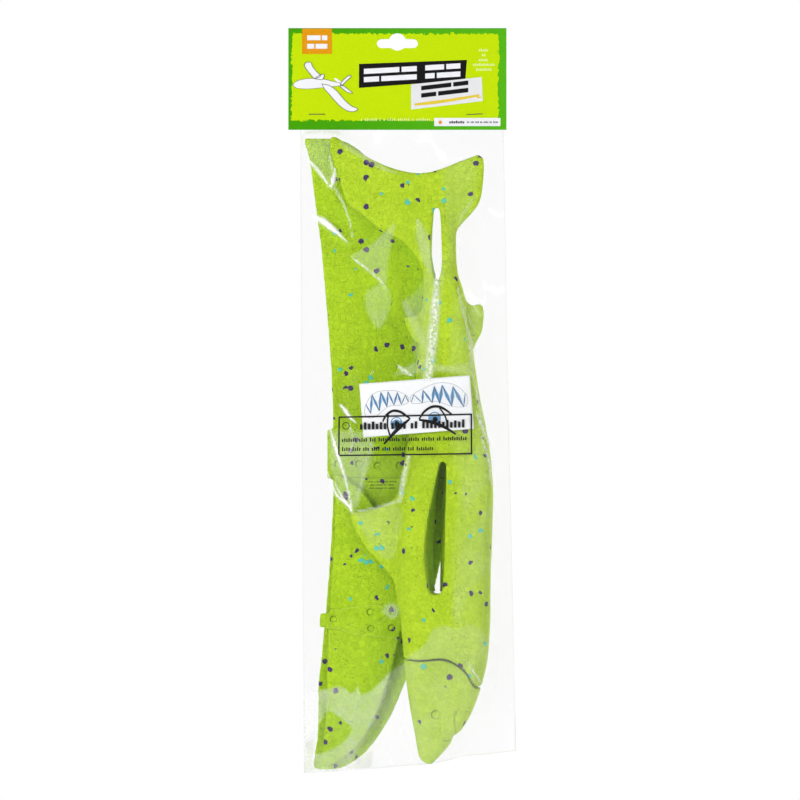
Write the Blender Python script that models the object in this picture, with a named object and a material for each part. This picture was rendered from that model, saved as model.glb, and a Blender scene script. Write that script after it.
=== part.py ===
"""Shark-shaped foam toy glider, packed flat in a clear bag under a folded header card.

The pack hangs upright: +Z is up, the front faces -Y, and the origin is where a
display peg bears in the card's hang hole. Sizes are in millimetres, times MM.
"""

import math

import bmesh
import bpy
from mathutils import Matrix, Vector

MM = 0.001

# --- driving dimensions (mm) ---
CARD_WIDTH = 160.0
CARD_HEIGHT = 74.6
CARD_TOP = 3.8
CARD_THICK = 0.4
FILM_THICK = 0.25
LAYER_GAP = 0.25
MOUTH_GAP = 0.7

HOLE_RADIUS = 6.4
SLOT_HALF_HEIGHT = 3.3
SLOT_HALF_LENGTH = 15.0
SLOT_CENTRE = -7.6

STAPLE_WIDTH = 11.8
STAPLE_HEIGHT = -59.5
STAPLE_CENTRES = {"left": -59.0, "right": 56.6}
WIRE_RADIUS = 0.3
STAPLE_HOLE_RADIUS = 0.65

BAG_MOUTH = -54.0
BAG_BOTTOM = [(-69.0, -543.6), (-10.0, -542.2), (35.0, -539.6), (87.0, -527.5)]

GLIDER_PLACE = (29.1, -8.0, -535.8)
GLIDER_ROLL = 4.0
FIN_THICK = 8.0
NOSE_SEAM_GAP = 1.1
TENON_RADIUS = 9.0
TENON_CENTRE = 3.0
TENON_TOP = 87.0
BORE_RADIUS = 6.3
BORE_FLOOR = 38.0
FIT_GAP = 0.3

WING_PLACE = (-47.3, 10.0, -309.0)
WING_TILT = 1.9
WING_ROOT_THICK = 14.0
WING_TIP_THICK = 3.6
WING_HALF_BAND = 18.0

TAIL_PLACE = (-52.4, 6.2, -431.0)
TAIL_TURN = 2.7
TAIL_TILT = 1.6
TAIL_ROOT_THICK = 7.4
TAIL_TIP_THICK = 3.4

SHEET_WIDTH = 81.0
SHEET_HEIGHT = 39.0
SHEET_THICK = 0.2
SHEET_PLACE = (14.0, -28.3, -273.7)
SHEET_TURN = -4.5
STICKER_THICK = 0.12
STICKER_GAP = 0.1

# --- the glider's shape (mm) ---
# Stations along the hull: height above the nose tip, back edge, belly edge, thickness.
HULL = [
    (0.0, -7.6, -3.8, 5.0),
    (3.5, -12.3, -0.5, 13.0),
    (9.0, -14.3, 4.8, 20.0),
    (15.0, -15.2, 9.6, 24.5),
    (20.6, -16.0, 11.6, 27.5),
    (22.0, -16.2, 14.0, 28.0),
    (25.0, -16.8, 17.6, 29.0),
    (34.0, -18.6, 23.2, 31.5),
    (44.0, -20.3, 27.8, 33.5),
    (59.0, -22.5, 32.8, 35.5),
    (77.0, -24.2, 36.7, 36.5),
    (92.0, -25.6, 38.0, 37.0),
    (112.0, -27.4, 38.9, 37.0),
    (134.0, -28.4, 38.9, 37.0),
    (156.0, -28.6, 39.7, 36.8),
    (182.0, -28.2, 40.6, 36.2),
    (208.0, -26.0, 40.5, 35.0),
    (237.0, -21.4, 37.4, 33.0),
    (276.0, -17.0, 29.7, 30.4),
    (305.0, -13.2, 26.0, 28.8),
    (338.0, -10.4, 21.6, 27.0),
    (358.0, -10.6, 15.2, 24.6),
    (378.0, -11.5, 13.6, 18.0),
    (398.0, -12.0, 14.0, 11.6),
    (412.0, -11.0, 13.0, 7.4),
]

TAIL_FIN = [
    [(-8.0, 350.0), (-10.4, 360.0), (-13.6, 368.2), (-19.6, 377.6), (-29.4, 385.4), (-41.2, 390.8),
     (-57.0, 404.0), (-66.2, 411.0), (-70.4, 423.0), (-77.2, 444.0), (-79.5, 456.5)],
    [(-78.4, 459.6), (-74.5, 459.8)],
    [(-74.5, 459.8), (-49.0, 443.6), (-29.5, 435.6), (-12.0, 432.8), (2.0, 435.6), (16.0, 441.2),
     (30.0, 446.2)],
    [(33.4, 444.2), (34.4, 437.6), (32.8, 418.0), (28.8, 408.0), (20.6, 398.4), (14.6, 391.0),
     (13.8, 383.0), (13.6, 366.0), (11.0, 352.0)],
]
DORSAL_FIN = [
    [(-16.0, 104.0), (-27.8, 110.0), (-29.6, 125.0), (-33.0, 136.0), (-40.0, 145.0), (-50.6, 156.0),
     (-59.2, 169.5), (-63.0, 179.0), (-63.3, 183.4)],
    [(-61.6, 185.4), (-53.0, 185.7), (-44.4, 187.6), (-36.0, 191.1), (-30.4, 195.6), (-27.4, 201.5),
     (-16.0, 212.0)],
]
SECOND_DORSAL_FIN = [
    [(-4.0, 300.0), (-12.6, 307.0), (-18.0, 312.0), (-22.6, 320.6), (-24.8, 326.2)],
    [(-23.6, 327.6), (-14.2, 328.6), (-10.8, 335.0), (-4.0, 340.0)],
]
PELVIC_FIN = [
    [(18.0, 300.0), (26.6, 304.4), (28.4, 309.0), (32.2, 315.6), (33.8, 323.4), (34.4, 331.0)],
    [(33.4, 336.2), (29.8, 337.0), (25.6, 335.7), (21.8, 338.8), (16.0, 342.0)],
]
WING_SLOT = [
    [(7.6, 220.0), (7.2, 198.0), (6.8, 175.0), (6.4, 151.0), (5.4, 131.0)],
    [(4.4, 126.4), (1.4, 124.7), (-2.4, 124.8), (-5.0, 127.6), (-7.4, 143.0), (-8.2, 155.0), (-7.4, 167.0),
     (-5.4, 181.0), (-2.2, 197.0), (2.6, 220.0)],
    [(3.6, 221.6), (6.4, 221.6)],
]
TAIL_SLOT = [
    [(-2.2, 407.4), (-3.6, 391.0), (-4.2, 374.0), (-2.6, 362.0), (-0.2, 353.4)],
    [(1.4, 353.0), (3.4, 360.0), (3.9, 374.0), (3.2, 392.0), (1.8, 407.6)],
]
# The seam runs level across the back and dips in an S towards the belly.
SEAM = [(-45.0, 78.4), (-24.0, 77.2), (-12.0, 76.0), (1.0, 77.2), (9.0, 76.4), (17.4, 71.6), (22.4, 66.8),
        (25.4, 61.2), (28.6, 56.8), (33.0, 56.6), (60.0, 58.0)]

# Planforms: distance from the middle of the span, trailing edge, leading edge.
WING_PLAN = [
    (18.4, 0.0, 92.2), (40.0, -0.4, 88.4), (70.0, -1.9, 81.8), (100.0, -4.2, 74.4), (130.0, -6.8, 66.2),
    (155.0, -9.2, 58.2), (176.0, -12.0, 50.4), (192.0, -14.0, 43.2), (206.0, -15.9, 35.2),
    (216.0, -17.4, 27.6), (223.0, -18.4, 20.4), (228.0, -19.2, 12.8), (231.0, -18.6, 5.4),
    (232.2, -16.0, -4.0),
]
TAIL_PLAN = [
    (5.4, 2.2, 55.0), (25.0, 2.4, 51.6), (40.0, 2.9, 48.2), (54.0, 3.2, 44.2), (66.0, 3.2, 40.2),
    (77.0, 2.9, 35.8), (88.0, 2.4, 28.8), (96.0, 1.8, 22.2), (102.0, 1.0, 14.4), (105.6, 0.4, 8.2),
    (107.4, 1.6, 5.0),
]
TAB_REACH = -4.4

COLOURS = {
    "foam": (0.33, 0.60, 0.035),
    "foam_nose": (0.36, 0.62, 0.05),
    "card": (0.30, 0.62, 0.01),
    "film": (0.82, 0.85, 0.88),
    "steel": (0.55, 0.55, 0.57),
    "paper": (0.86, 0.86, 0.88),
    "eye": (0.10, 0.32, 0.62),
    "mouth": (0.45, 0.66, 0.82),
}


def clear_scene():
    for found in list(bpy.data.objects):
        bpy.data.objects.remove(found, do_unlink=True)


def make_material(name, colour, roughness, metallic=0.0, alpha=1.0):
    material = bpy.data.materials.new(name)
    material.use_nodes = True
    shader = material.node_tree.nodes["Principled BSDF"]
    shader.inputs["Base Color"].default_value = (*colour, 1.0)
    shader.inputs["Roughness"].default_value = roughness
    shader.inputs["Metallic"].default_value = metallic
    shader.inputs["Alpha"].default_value = alpha
    return material


def add_object(name, mesh_builder, material=None):
    """Turn a bmesh into a named, smooth-shaded object at the origin."""
    bmesh.ops.recalc_face_normals(mesh_builder, faces=mesh_builder.faces)
    mesh = bpy.data.meshes.new(name)
    mesh_builder.to_mesh(mesh)
    mesh_builder.free()
    mesh.shade_smooth()
    mesh.set_sharp_from_angle(angle=math.radians(40))
    made = bpy.data.objects.new(name, mesh)
    bpy.context.collection.objects.link(made)
    if material:
        made.data.materials.append(material)
    return made


def apply_tool(target, tool, operation):
    """Boolean a guide object into the target and leave the guide hidden."""
    modifier = target.modifiers.new(f"{operation.lower()}_{tool.name}", "BOOLEAN")
    modifier.operation = operation
    modifier.solver = "EXACT"
    modifier.object = tool
    tool.hide_render = True
    tool.display_type = "WIRE"


def place(made, position, turn=(0.0, 0.0, 0.0)):
    made.location = Vector(position) * MM
    made.rotation_euler = [math.radians(angle) for angle in turn]


def smooth_run(points, steps):
    """Catmull-Rom curve through an open run of points."""
    padded = [points[0], *points, points[-1]]
    curve = []
    for before, start, end, after in zip(padded, padded[1:], padded[2:], padded[3:]):
        for step in range(steps):
            t = step / steps
            point = []
            for a, b, c, d in zip(before, start, end, after):
                slope = c - a
                bend = 2 * a - 5 * b + 4 * c - d
                twist = 3 * b - a - 3 * c + d
                point.append(0.5 * (2 * b + slope * t + bend * t**2 + twist * t**3))
            curve.append(tuple(point))
    curve.append(tuple(points[-1]))
    return curve


def outline(runs, steps=2):
    """Join smooth runs into one closed outline, with a corner where two runs meet."""
    joined = []
    for run in runs:
        for point in smooth_run(run, steps):
            if not joined or (Vector(point) - Vector(joined[-1])).length > 0.05:
                joined.append(point)
    if (Vector(joined[0]) - Vector(joined[-1])).length < 0.05:
        joined.pop()
    return joined


def plate(name, points, front, back, edge=0.0, material=None):
    """Flat plate with an (x, z) outline between two depths, its edges rounded by edge."""
    shape = bmesh.new()
    rim = [shape.verts.new((x * MM, front * MM, z * MM)) for x, z in points]
    face = shape.faces.new(rim)
    extruded = bmesh.ops.extrude_face_region(shape, geom=[face])
    moved = [item for item in extruded["geom"] if isinstance(item, bmesh.types.BMVert)]
    bmesh.ops.translate(shape, verts=moved, vec=(0.0, (back - front) * MM, 0.0))
    made = add_object(name, shape, material)
    if edge:
        bevel = made.modifiers.new("rounded_edge", "BEVEL")
        bevel.width = edge * MM
        bevel.segments = 2
        bevel.limit_method = "ANGLE"
        bevel.angle_limit = math.radians(60)
    return made


def cylinder(name, radius, start, end, sides=32):
    """Closed cylinder between two points (mm)."""
    start, end = Vector(start), Vector(end)
    turn = (end - start).to_track_quat("Z", "Y").to_matrix().to_4x4()
    shape = bmesh.new()
    bmesh.ops.create_cone(
        shape, cap_ends=True, segments=sides, radius1=radius * MM, radius2=radius * MM,
        depth=(end - start).length * MM, matrix=Matrix.Translation((start + end) / 2 * MM) @ turn,
    )
    return add_object(name, shape)


def loft(name, rings, material=None, close_ends=True):
    """Skin a list of equal closed rings (mm)."""
    shape = bmesh.new()
    rows = [[shape.verts.new(Vector(point) * MM) for point in ring] for ring in rings]
    for low, high in zip(rows, rows[1:]):
        for index in range(len(low)):
            after = (index + 1) % len(low)
            shape.faces.new((low[index], low[after], high[after], high[index]))
    shape.faces.new(rows[0])
    if close_ends:
        shape.faces.new(rows[-1])
    return add_object(name, shape, material)


# --- glider body ---
def hull_ring(height, back, belly, thick, points_per_corner=6):
    """Rounded-rectangle section: full round towards the back, a tighter radius on the belly."""
    half = thick / 2
    back_radius = min(half * 0.86, (belly - back) * 0.45)
    belly_radius = min(half * 0.62, (belly - back) * 0.45)
    corners = [
        (belly - belly_radius, half - belly_radius, belly_radius, 0.0),
        (back + back_radius, half - back_radius, back_radius, 90.0),
        (back + back_radius, back_radius - half, back_radius, 180.0),
        (belly - belly_radius, belly_radius - half, belly_radius, 270.0),
    ]
    ring = []
    for centre_x, centre_y, radius, first in corners:
        for step in range(points_per_corner):
            angle = math.radians(first + 90.0 * step / (points_per_corner - 1))
            ring.append((centre_x + radius * math.cos(angle), centre_y + radius * math.sin(angle), height))
    return ring


def make_hull(name):
    """The whole body from nose tip to tail root, without fins."""
    stations = smooth_run(HULL, 2)
    return loft(name, [hull_ring(*station) for station in stations])


def seam_block(name, above, offset):
    """Block that covers everything above, or below, the nose seam."""
    line = [(x, z + offset) for x, z in smooth_run(SEAM, 3)]
    far = 500.0 if above else -20.0
    return plate(name, [*line, (60.0, far), (-100.0, far), (-100.0, line[0][1])], -40.0, 40.0)


def make_fuselage(parent, material):
    fuselage = make_hull("fuselage")
    fuselage.data.materials.append(material)
    half = FIN_THICK / 2
    fins = {"tail_fin": TAIL_FIN, "dorsal_fin": DORSAL_FIN, "second_dorsal_fin": SECOND_DORSAL_FIN,
            "pelvic_fin": PELVIC_FIN}
    for name, runs in fins.items():
        fin = plate(f"guide_{name}", outline(runs), -half, half, edge=2.6)
        apply_tool(fuselage, fin, "UNION")
        fin.parent = parent
    nose_side = seam_block("cut_below_seam", False, NOSE_SEAM_GAP / 2)
    socket_end = (TENON_CENTRE, 0.0, TENON_TOP + FIT_GAP)
    socket = cylinder("cut_nose_socket", TENON_RADIUS + FIT_GAP, (TENON_CENTRE, 0.0, 50.0), socket_end)
    wing_slot = plate("cut_wing_slot", outline(WING_SLOT), -40.0, 40.0)
    tail_slot = plate("cut_tail_slot", outline(TAIL_SLOT), -40.0, 40.0)
    for tool in (nose_side, socket, wing_slot, tail_slot):
        apply_tool(fuselage, tool, "DIFFERENCE")
        tool.parent = parent
    fuselage.parent = parent
    return fuselage


def make_nose_block(parent, material):
    """Soft nose with a glue tenon and a blind bore for the weight, open at the tenon's end."""
    nose = make_hull("nose_block")
    nose.data.materials.append(material)
    body_side = seam_block("cut_above_seam", True, -NOSE_SEAM_GAP / 2)
    tenon_root = (TENON_CENTRE, 0.0, 50.0)
    tenon = cylinder("guide_tenon", TENON_RADIUS, tenon_root, (TENON_CENTRE, 0.0, TENON_TOP))
    bore_floor = (TENON_CENTRE, 0.0, BORE_FLOOR)
    bore = cylinder("cut_weight_bore", BORE_RADIUS, bore_floor, (TENON_CENTRE, 0.0, TENON_TOP + 5.0))
    apply_tool(nose, body_side, "DIFFERENCE")
    apply_tool(nose, tenon, "UNION")
    apply_tool(nose, bore, "DIFFERENCE")
    for piece in (body_side, tenon, bore, nose):
        piece.parent = parent
    return nose


def make_nose_weight(parent, material):
    weight = cylinder(
        "nose_weight", BORE_RADIUS - FIT_GAP,
        (TENON_CENTRE, 0.0, BORE_FLOOR + FIT_GAP), (TENON_CENTRE, 0.0, TENON_TOP - FIT_GAP),
    )
    weight.data.materials.append(material)
    weight.parent = parent
    return weight


# --- flying surfaces ---
def camber(share):
    """Airfoil height, 0 to 1, at a share of the chord back from the leading edge."""
    nose = 0.2969 * math.sqrt(share) - 0.126 * share
    rest = -0.3516 * share**2 + 0.2843 * share**3 - 0.1015 * share**4
    return 10 * (nose + rest)


def flat_foot_ring(span, trailing, leading, thick, points=11):
    """Section with a flat front face and a cambered back."""
    chord = leading - trailing
    blunt = min(1.8, thick * 0.5)
    ring = [(leading - chord * share, 0.0, span) for share in (0.03, 0.2, 0.5, 0.8, 1.0)]
    for step in range(points):
        share = (1.0 - step / (points - 1)) ** 1.6
        height = blunt * share + (thick - blunt * 0.3) * camber(share)
        ring.append((leading - chord * share, max(height, 0.6), span))
    return ring


def lens_ring(span, trailing, leading, thick, points=9):
    """Section that is alike on both faces, with blunt edges."""
    chord = leading - trailing
    edge = 0.35
    front, back = [], []
    for step in range(points):
        share = 0.5 - 0.5 * math.cos(math.pi * step / (points - 1))
        half = thick / 2 * (edge + (1 - edge) * math.sin(math.pi * share ** 0.8))
        front.append((leading - chord * share, -half, span))
        back.append((leading - chord * share, half, span))
    return [*front, *reversed(back)]


def span_rings(plan, band, make_ring, root_thick, tip_thick):
    """Rings from one tip to the other. The centre band keeps its chord and has a tab behind."""
    reach = plan[-1][0]
    one_side = []
    for span, trailing, leading in smooth_run(plan, 2):
        thick = tip_thick + (root_thick - 0.9 - tip_thick) * (1 - span / reach) ** 0.8
        one_side.append((span, trailing, leading, thick))
    middle = [(band, TAB_REACH, plan[0][2] + 0.8, root_thick)]
    low = [make_ring(-span, *rest) for span, *rest in reversed(one_side)]
    low += [make_ring(-span, *rest) for span, *rest in middle]
    high = [make_ring(span, *rest) for span, *rest in middle]
    high += [make_ring(span, *rest) for span, *rest in one_side]
    return low + high


def make_main_wing(material):
    rings = span_rings(WING_PLAN, WING_HALF_BAND, flat_foot_ring, WING_ROOT_THICK, WING_TIP_THICK)
    wing = loft("main_wing", rings, material)
    place(wing, WING_PLACE, (WING_TILT, 0.0, 0.0))
    return wing


def make_tailplane(material):
    rings = span_rings(TAIL_PLAN, 5.0, lens_ring, TAIL_ROOT_THICK, TAIL_TIP_THICK)
    tailplane = loft("tailplane", rings, material)
    place(tailplane, TAIL_PLACE, (TAIL_TILT, TAIL_TURN, 0.0))
    return tailplane


# --- stickers ---
def arc_outline(width, height, lift, count=9):
    """Leaf shape: a raised upper curve over a shallower lower curve."""
    shares = [step / (count - 1) for step in range(count)]
    upper = [(width * (t - 0.5), height * lift * math.sin(math.pi * t)) for t in shares]
    lower = [(width * (0.5 - t), -height * (1 - lift) * math.sin(math.pi * t)) for t in shares[1:-1]]
    return upper + lower


def make_stickers(materials):
    sheet_half = SHEET_THICK / 2
    half_w, half_h = SHEET_WIDTH / 2, SHEET_HEIGHT / 2
    corners = [(-half_w, -half_h), (half_w, -half_h), (half_w, half_h), (-half_w, half_h)]
    backing = plate("sticker_backing", corners, -sheet_half, sheet_half, material=materials["paper"])
    place(backing, SHEET_PLACE, (0.0, SHEET_TURN, 0.0))
    front = -sheet_half - STICKER_GAP
    stickers = [
        ("mouth_sticker_left", arc_outline(33.0, 15.0, 0.7), (-20.6, 6.6), -3.0, "mouth"),
        ("mouth_sticker_right", arc_outline(41.0, 15.4, 0.7), (18.6, 8.6), -3.0, "mouth"),
        ("eye_sticker_left", arc_outline(22.0, 16.0, 0.6), (-18.4, -9.8), -32.0, "eye"),
        ("eye_sticker_right", arc_outline(23.0, 15.0, 0.6), (7.8, -9.6), 30.0, "eye"),
    ]
    for name, shape, (x, z), turn, look in stickers:
        sticker = plate(name, shape, front - STICKER_THICK, front, material=materials[look])
        sticker.parent = backing
        place(sticker, (x, 0.0, z), (0.0, turn, 0.0))


# --- pack ---
CARD_INNER = MOUTH_GAP / 2 + FILM_THICK + LAYER_GAP
CARD_OUTER = CARD_INNER + CARD_THICK
CARD_BOTTOM = CARD_TOP - CARD_HEIGHT


def staple_legs():
    """The (x, z) place of each staple leg."""
    reach = STAPLE_WIDTH / 2
    centres = STAPLE_CENTRES.values()
    return [(centre + side * reach, STAPLE_HEIGHT) for centre in centres for side in (-1, 1)]


def punch_staple_holes(target, owner):
    for index, (x, z) in enumerate(staple_legs()):
        hole = cylinder(f"cut_{owner}_leg_{index}", STAPLE_HOLE_RADIUS, (x, -4.0, z), (x, 4.0, z), sides=12)
        apply_tool(target, hole, "DIFFERENCE")


def make_header_card(material):
    """Card folded over the bag's mouth, with a hang hole through both panels."""
    fold = [math.radians(180.0 * step / 8) for step in range(9)]
    crease = CARD_TOP - CARD_OUTER
    outer = [(-CARD_OUTER * math.cos(a), crease + CARD_OUTER * math.sin(a)) for a in fold]
    inner = [(CARD_INNER * math.cos(a), crease + CARD_INNER * math.sin(a)) for a in fold]
    front_edge = [(-CARD_INNER, CARD_BOTTOM), (-CARD_OUTER, CARD_BOTTOM)]
    back_edge = [(CARD_OUTER, CARD_BOTTOM), (CARD_INNER, CARD_BOTTOM)]
    section = [*front_edge, *outer, *back_edge, *inner]
    shape = bmesh.new()
    left = [shape.verts.new((-CARD_WIDTH / 2 * MM, y * MM, z * MM)) for y, z in section]
    face = shape.faces.new(left)
    extruded = bmesh.ops.extrude_face_region(shape, geom=[face])
    moved = [item for item in extruded["geom"] if isinstance(item, bmesh.types.BMVert)]
    bmesh.ops.translate(shape, verts=moved, vec=(CARD_WIDTH * MM, 0.0, 0.0))
    card = add_object("header_card", shape, material)
    front_end = (0.0, -4.0, -HOLE_RADIUS)
    hole_round = cylinder("cut_hang_round", HOLE_RADIUS, front_end, (0.0, 4.0, -HOLE_RADIUS))
    ends = []
    straight = SLOT_HALF_LENGTH - SLOT_HALF_HEIGHT
    for first, centre in ((-90.0, straight), (90.0, -straight)):
        for step in range(9):
            angle = math.radians(first + 180.0 * step / 8)
            x = centre + SLOT_HALF_HEIGHT * math.cos(angle)
            ends.append((x, SLOT_CENTRE + SLOT_HALF_HEIGHT * math.sin(angle)))
    hole_slot = plate("cut_hang_slot", ends, -4.0, 4.0)
    apply_tool(card, hole_round, "DIFFERENCE")
    apply_tool(card, hole_slot, "DIFFERENCE")
    punch_staple_holes(card, "card")
    return card


def make_staple(side, centre, material):
    """Bent wire: crown in front of the card, legs through it, points folded in behind."""
    reach = STAPLE_WIDTH / 2
    depth = CARD_OUTER + LAYER_GAP + WIRE_RADIUS
    fold = reach - 1.4
    route = [(-reach + fold, depth), (-reach, depth), (-reach, -depth), (reach, -depth), (reach, depth),
             (reach - fold, depth)]
    wire = bpy.data.curves.new(f"staple_{side}", "CURVE")
    wire.dimensions = "3D"
    wire.bevel_depth = WIRE_RADIUS * MM
    wire.bevel_resolution = 1
    wire.use_fill_caps = True
    line = wire.splines.new("POLY")
    line.points.add(len(route) - 1)
    for point, (x, y) in zip(line.points, route):
        point.co = (x * MM, y * MM, 0.0, 1.0)
    staple = bpy.data.objects.new(f"staple_{side}", wire)
    bpy.context.collection.objects.link(staple)
    wire.materials.append(material)
    place(staple, (centre, 0.0, STAPLE_HEIGHT))
    return staple


def bag_bottom(x):
    """Height of the bottom seal at a place across the bag."""
    if x <= BAG_BOTTOM[0][0]:
        return BAG_BOTTOM[0][1]
    for (x0, z0), (x1, z1) in zip(BAG_BOTTOM, BAG_BOTTOM[1:]):
        if x <= x1:
            return z0 + (z1 - z0) * (x - x0) / (x1 - x0)
    return BAG_BOTTOM[-1][1]


# Share of the way down, left edge (x, y), front panel (x, x, y), right edge (x, y), back panel (x, x, y).
FLAT = MOUTH_GAP / 2 + FILM_THICK
BAG_SECTIONS = [
    (0.0, (-71.5, 0.0), (-60.0, 66.0, -FLAT), (77.5, 0.0), (-60.0, 66.0, FLAT)),
    (0.036, (-71.5, 0.0), (-60.0, 66.0, -FLAT), (77.5, 0.0), (-60.0, 66.0, FLAT)),
    (0.044, (-71.4, 2.0), (-58.0, 66.0, -13.6), (77.6, -3.0), (-64.0, 62.0, 8.4)),
    (0.10, (-71.2, 5.0), (-52.0, 66.0, -17.0), (78.4, -4.0), (-64.0, 62.0, 11.6)),
    (0.25, (-70.8, 8.0), (-44.0, 64.0, -24.5), (80.0, -4.0), (-60.0, 60.0, 18.6)),
    (0.42, (-70.4, 10.0), (-44.0, 68.0, -29.6), (81.6, -4.0), (-58.0, 60.0, 25.4)),
    (0.52, (-70.2, 12.0), (-44.0, 76.0, -29.8), (83.0, -4.0), (-58.0, 62.0, 27.6)),
    (0.66, (-69.8, 12.0), (-44.0, 78.0, -30.4), (84.6, -4.0), (-58.0, 64.0, 27.6)),
    (0.82, (-69.4, 13.0), (-44.0, 76.0, -30.4), (85.6, -4.0), (-58.0, 62.0, 25.6)),
    (0.93, (-69.2, 14.0), (-44.0, 60.0, -27.6), (86.4, -3.0), (-62.0, 50.0, 24.4)),
    (0.996, (-69.0, 16.0), (-50.0, 48.0, -19.0), (87.0, -1.0), (-65.0, 40.0, 25.0)),
    (1.0, (-69.0, 4.0), (-56.0, 60.0, 3.6), (87.0, 4.0), (-56.0, 60.0, 4.4)),
]


def film_ring(share, left, front, right, back):
    """One closed section of the film, its corners eased."""
    front_corners = [(front[0], front[2]), (front[1], front[2])]
    back_corners = [(back[1], back[2]), (back[0], back[2])]
    corners = [left, *front_corners, right, *back_corners]
    ring = []
    count = len(corners)
    for index, corner in enumerate(corners):
        here = Vector(corner)
        before = Vector(corners[index - 1])
        after = Vector(corners[(index + 1) % count])
        ease = 0.0 if index in (0, 3) else 0.14
        if not ease:
            ring.append((here.x, here.y))
        else:
            for t in (0.0, 0.5, 1.0):
                first = here.lerp(before, ease * (1 - t))
                last = here.lerp(after, ease * t)
                middle = first.lerp(last, t)
                ring.append((middle.x, middle.y))
        ring.append(tuple(here.lerp(after, 0.5)))
    return [(x, y, BAG_MOUTH + share * (bag_bottom(x) - BAG_MOUTH)) for x, y in ring]


def make_polybag(material):
    """Clear film tube, sealed at the bottom and open at the mouth under the card."""
    rings = [film_ring(*section) for section in reversed(BAG_SECTIONS)]
    bag = loft("polybag", rings, material, close_ends=False)
    skin = bag.modifiers.new("film_thickness", "SOLIDIFY")
    skin.thickness = FILM_THICK * MM
    skin.offset = -1.0
    skin.use_even_offset = True
    punch_staple_holes(bag, "bag")
    return bag


def main():
    clear_scene()
    materials = {
        "foam": make_material("epp_foam", COLOURS["foam"], 0.7),
        "foam_nose": make_material("soft_nose_foam", COLOURS["foam_nose"], 0.7),
        "wing": make_material("wing_foam", COLOURS["foam"], 0.7),
        "tail": make_material("tailplane_foam", COLOURS["foam"], 0.7),
        "card": make_material("printed_card", COLOURS["card"], 0.5),
        "film": make_material("clear_film", COLOURS["film"], 0.1, alpha=0.25),
        "paper": make_material("release_paper", COLOURS["paper"], 0.6),
        "eye": make_material("eye_print", COLOURS["eye"], 0.4),
        "mouth": make_material("mouth_print", COLOURS["mouth"], 0.4),
        "weight": make_material("ballast_steel", COLOURS["steel"], 0.4, metallic=1.0),
        "wire": make_material("staple_wire", COLOURS["steel"], 0.3, metallic=1.0),
    }
    glider = bpy.data.objects.new("glider_place", None)
    bpy.context.collection.objects.link(glider)
    place(glider, GLIDER_PLACE, (0.0, 0.0, -GLIDER_ROLL))
    make_fuselage(glider, materials["foam"])
    make_nose_block(glider, materials["foam_nose"])
    make_nose_weight(glider, materials["weight"])
    make_main_wing(materials["wing"])
    make_tailplane(materials["tail"])
    make_stickers(materials)
    make_header_card(materials["card"])
    for side, centre in STAPLE_CENTRES.items():
        make_staple(side, centre, materials["wire"])
    make_polybag(materials["film"])


main()
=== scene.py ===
import math

import bmesh
import bpy
import numpy as np
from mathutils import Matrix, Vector, noise
from mathutils.bvhtree import BVHTree


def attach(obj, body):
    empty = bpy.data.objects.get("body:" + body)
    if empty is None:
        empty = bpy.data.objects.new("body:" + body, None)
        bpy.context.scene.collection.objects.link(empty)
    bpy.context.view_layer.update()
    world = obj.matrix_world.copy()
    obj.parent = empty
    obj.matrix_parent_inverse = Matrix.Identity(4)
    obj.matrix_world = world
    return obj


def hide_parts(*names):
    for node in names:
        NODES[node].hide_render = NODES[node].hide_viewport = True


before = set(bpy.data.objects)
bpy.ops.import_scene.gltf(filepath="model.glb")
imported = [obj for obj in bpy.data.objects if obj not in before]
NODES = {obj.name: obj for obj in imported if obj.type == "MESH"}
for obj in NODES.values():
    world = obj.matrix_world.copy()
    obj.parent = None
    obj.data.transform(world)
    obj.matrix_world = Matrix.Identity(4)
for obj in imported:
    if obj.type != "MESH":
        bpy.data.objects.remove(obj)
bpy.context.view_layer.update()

MM = 0.001
SCENE = bpy.context.scene

# Card, in mm: half width, fold and lower edge heights, half depth of the folded panels, stock, hang hole.
CARD_HALF = 80.0
CARD_TOP = 3.8
CARD_BOTTOM = -70.8
CARD_DEPTH = 1.25
CARD_THICK = 0.4
HOLE_RADIUS = 6.4
HOLE_SLOT = (15.0, 3.3, -7.6)
PRINT_LAYER = 0.05

# Bag in mm: mouth height and gap to the contents, then the outline and the depth of the side seams as
# (height, value) pairs, and the lower edge as (x, height) pairs.
MOUTH = -54.0
FILM_GAP = 0.7
BAG_LEFT = [(-54, -71.5), (-130, -71.2), (-250, -70.6), (-400, -69.8), (-545, -68.6)]
BAG_RIGHT = [(-54, 77.5), (-130, 79), (-250, 81), (-400, 84.2), (-530, 86.9)]
BAG_SEAM_LEFT = [(-60, 0), (-80, 2), (-190, 8), (-350, 12), (-500, 14), (-545, 6)]
BAG_SEAM_RIGHT = [(-60, 0), (-80, -2), (-190, -4), (-400, -4), (-500, -3), (-545, 2)]
BAG_FLOOR = [(-72, -543.4), (-20, -540.2), (2, -538), (24, -536.4), (40, -533), (48, -530.2), (61, -529.4),
    (88, -526.4)]

# Foam: how fine its beads and pores are, and the share of them that is coloured or open.
BEADS_PER_METRE = 262.0
PORES_PER_METRE = 430.0
PORE_SHARE = 0.22
PURPLE_SHARE = 0.031
TEAL_SHARE = 0.017


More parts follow.
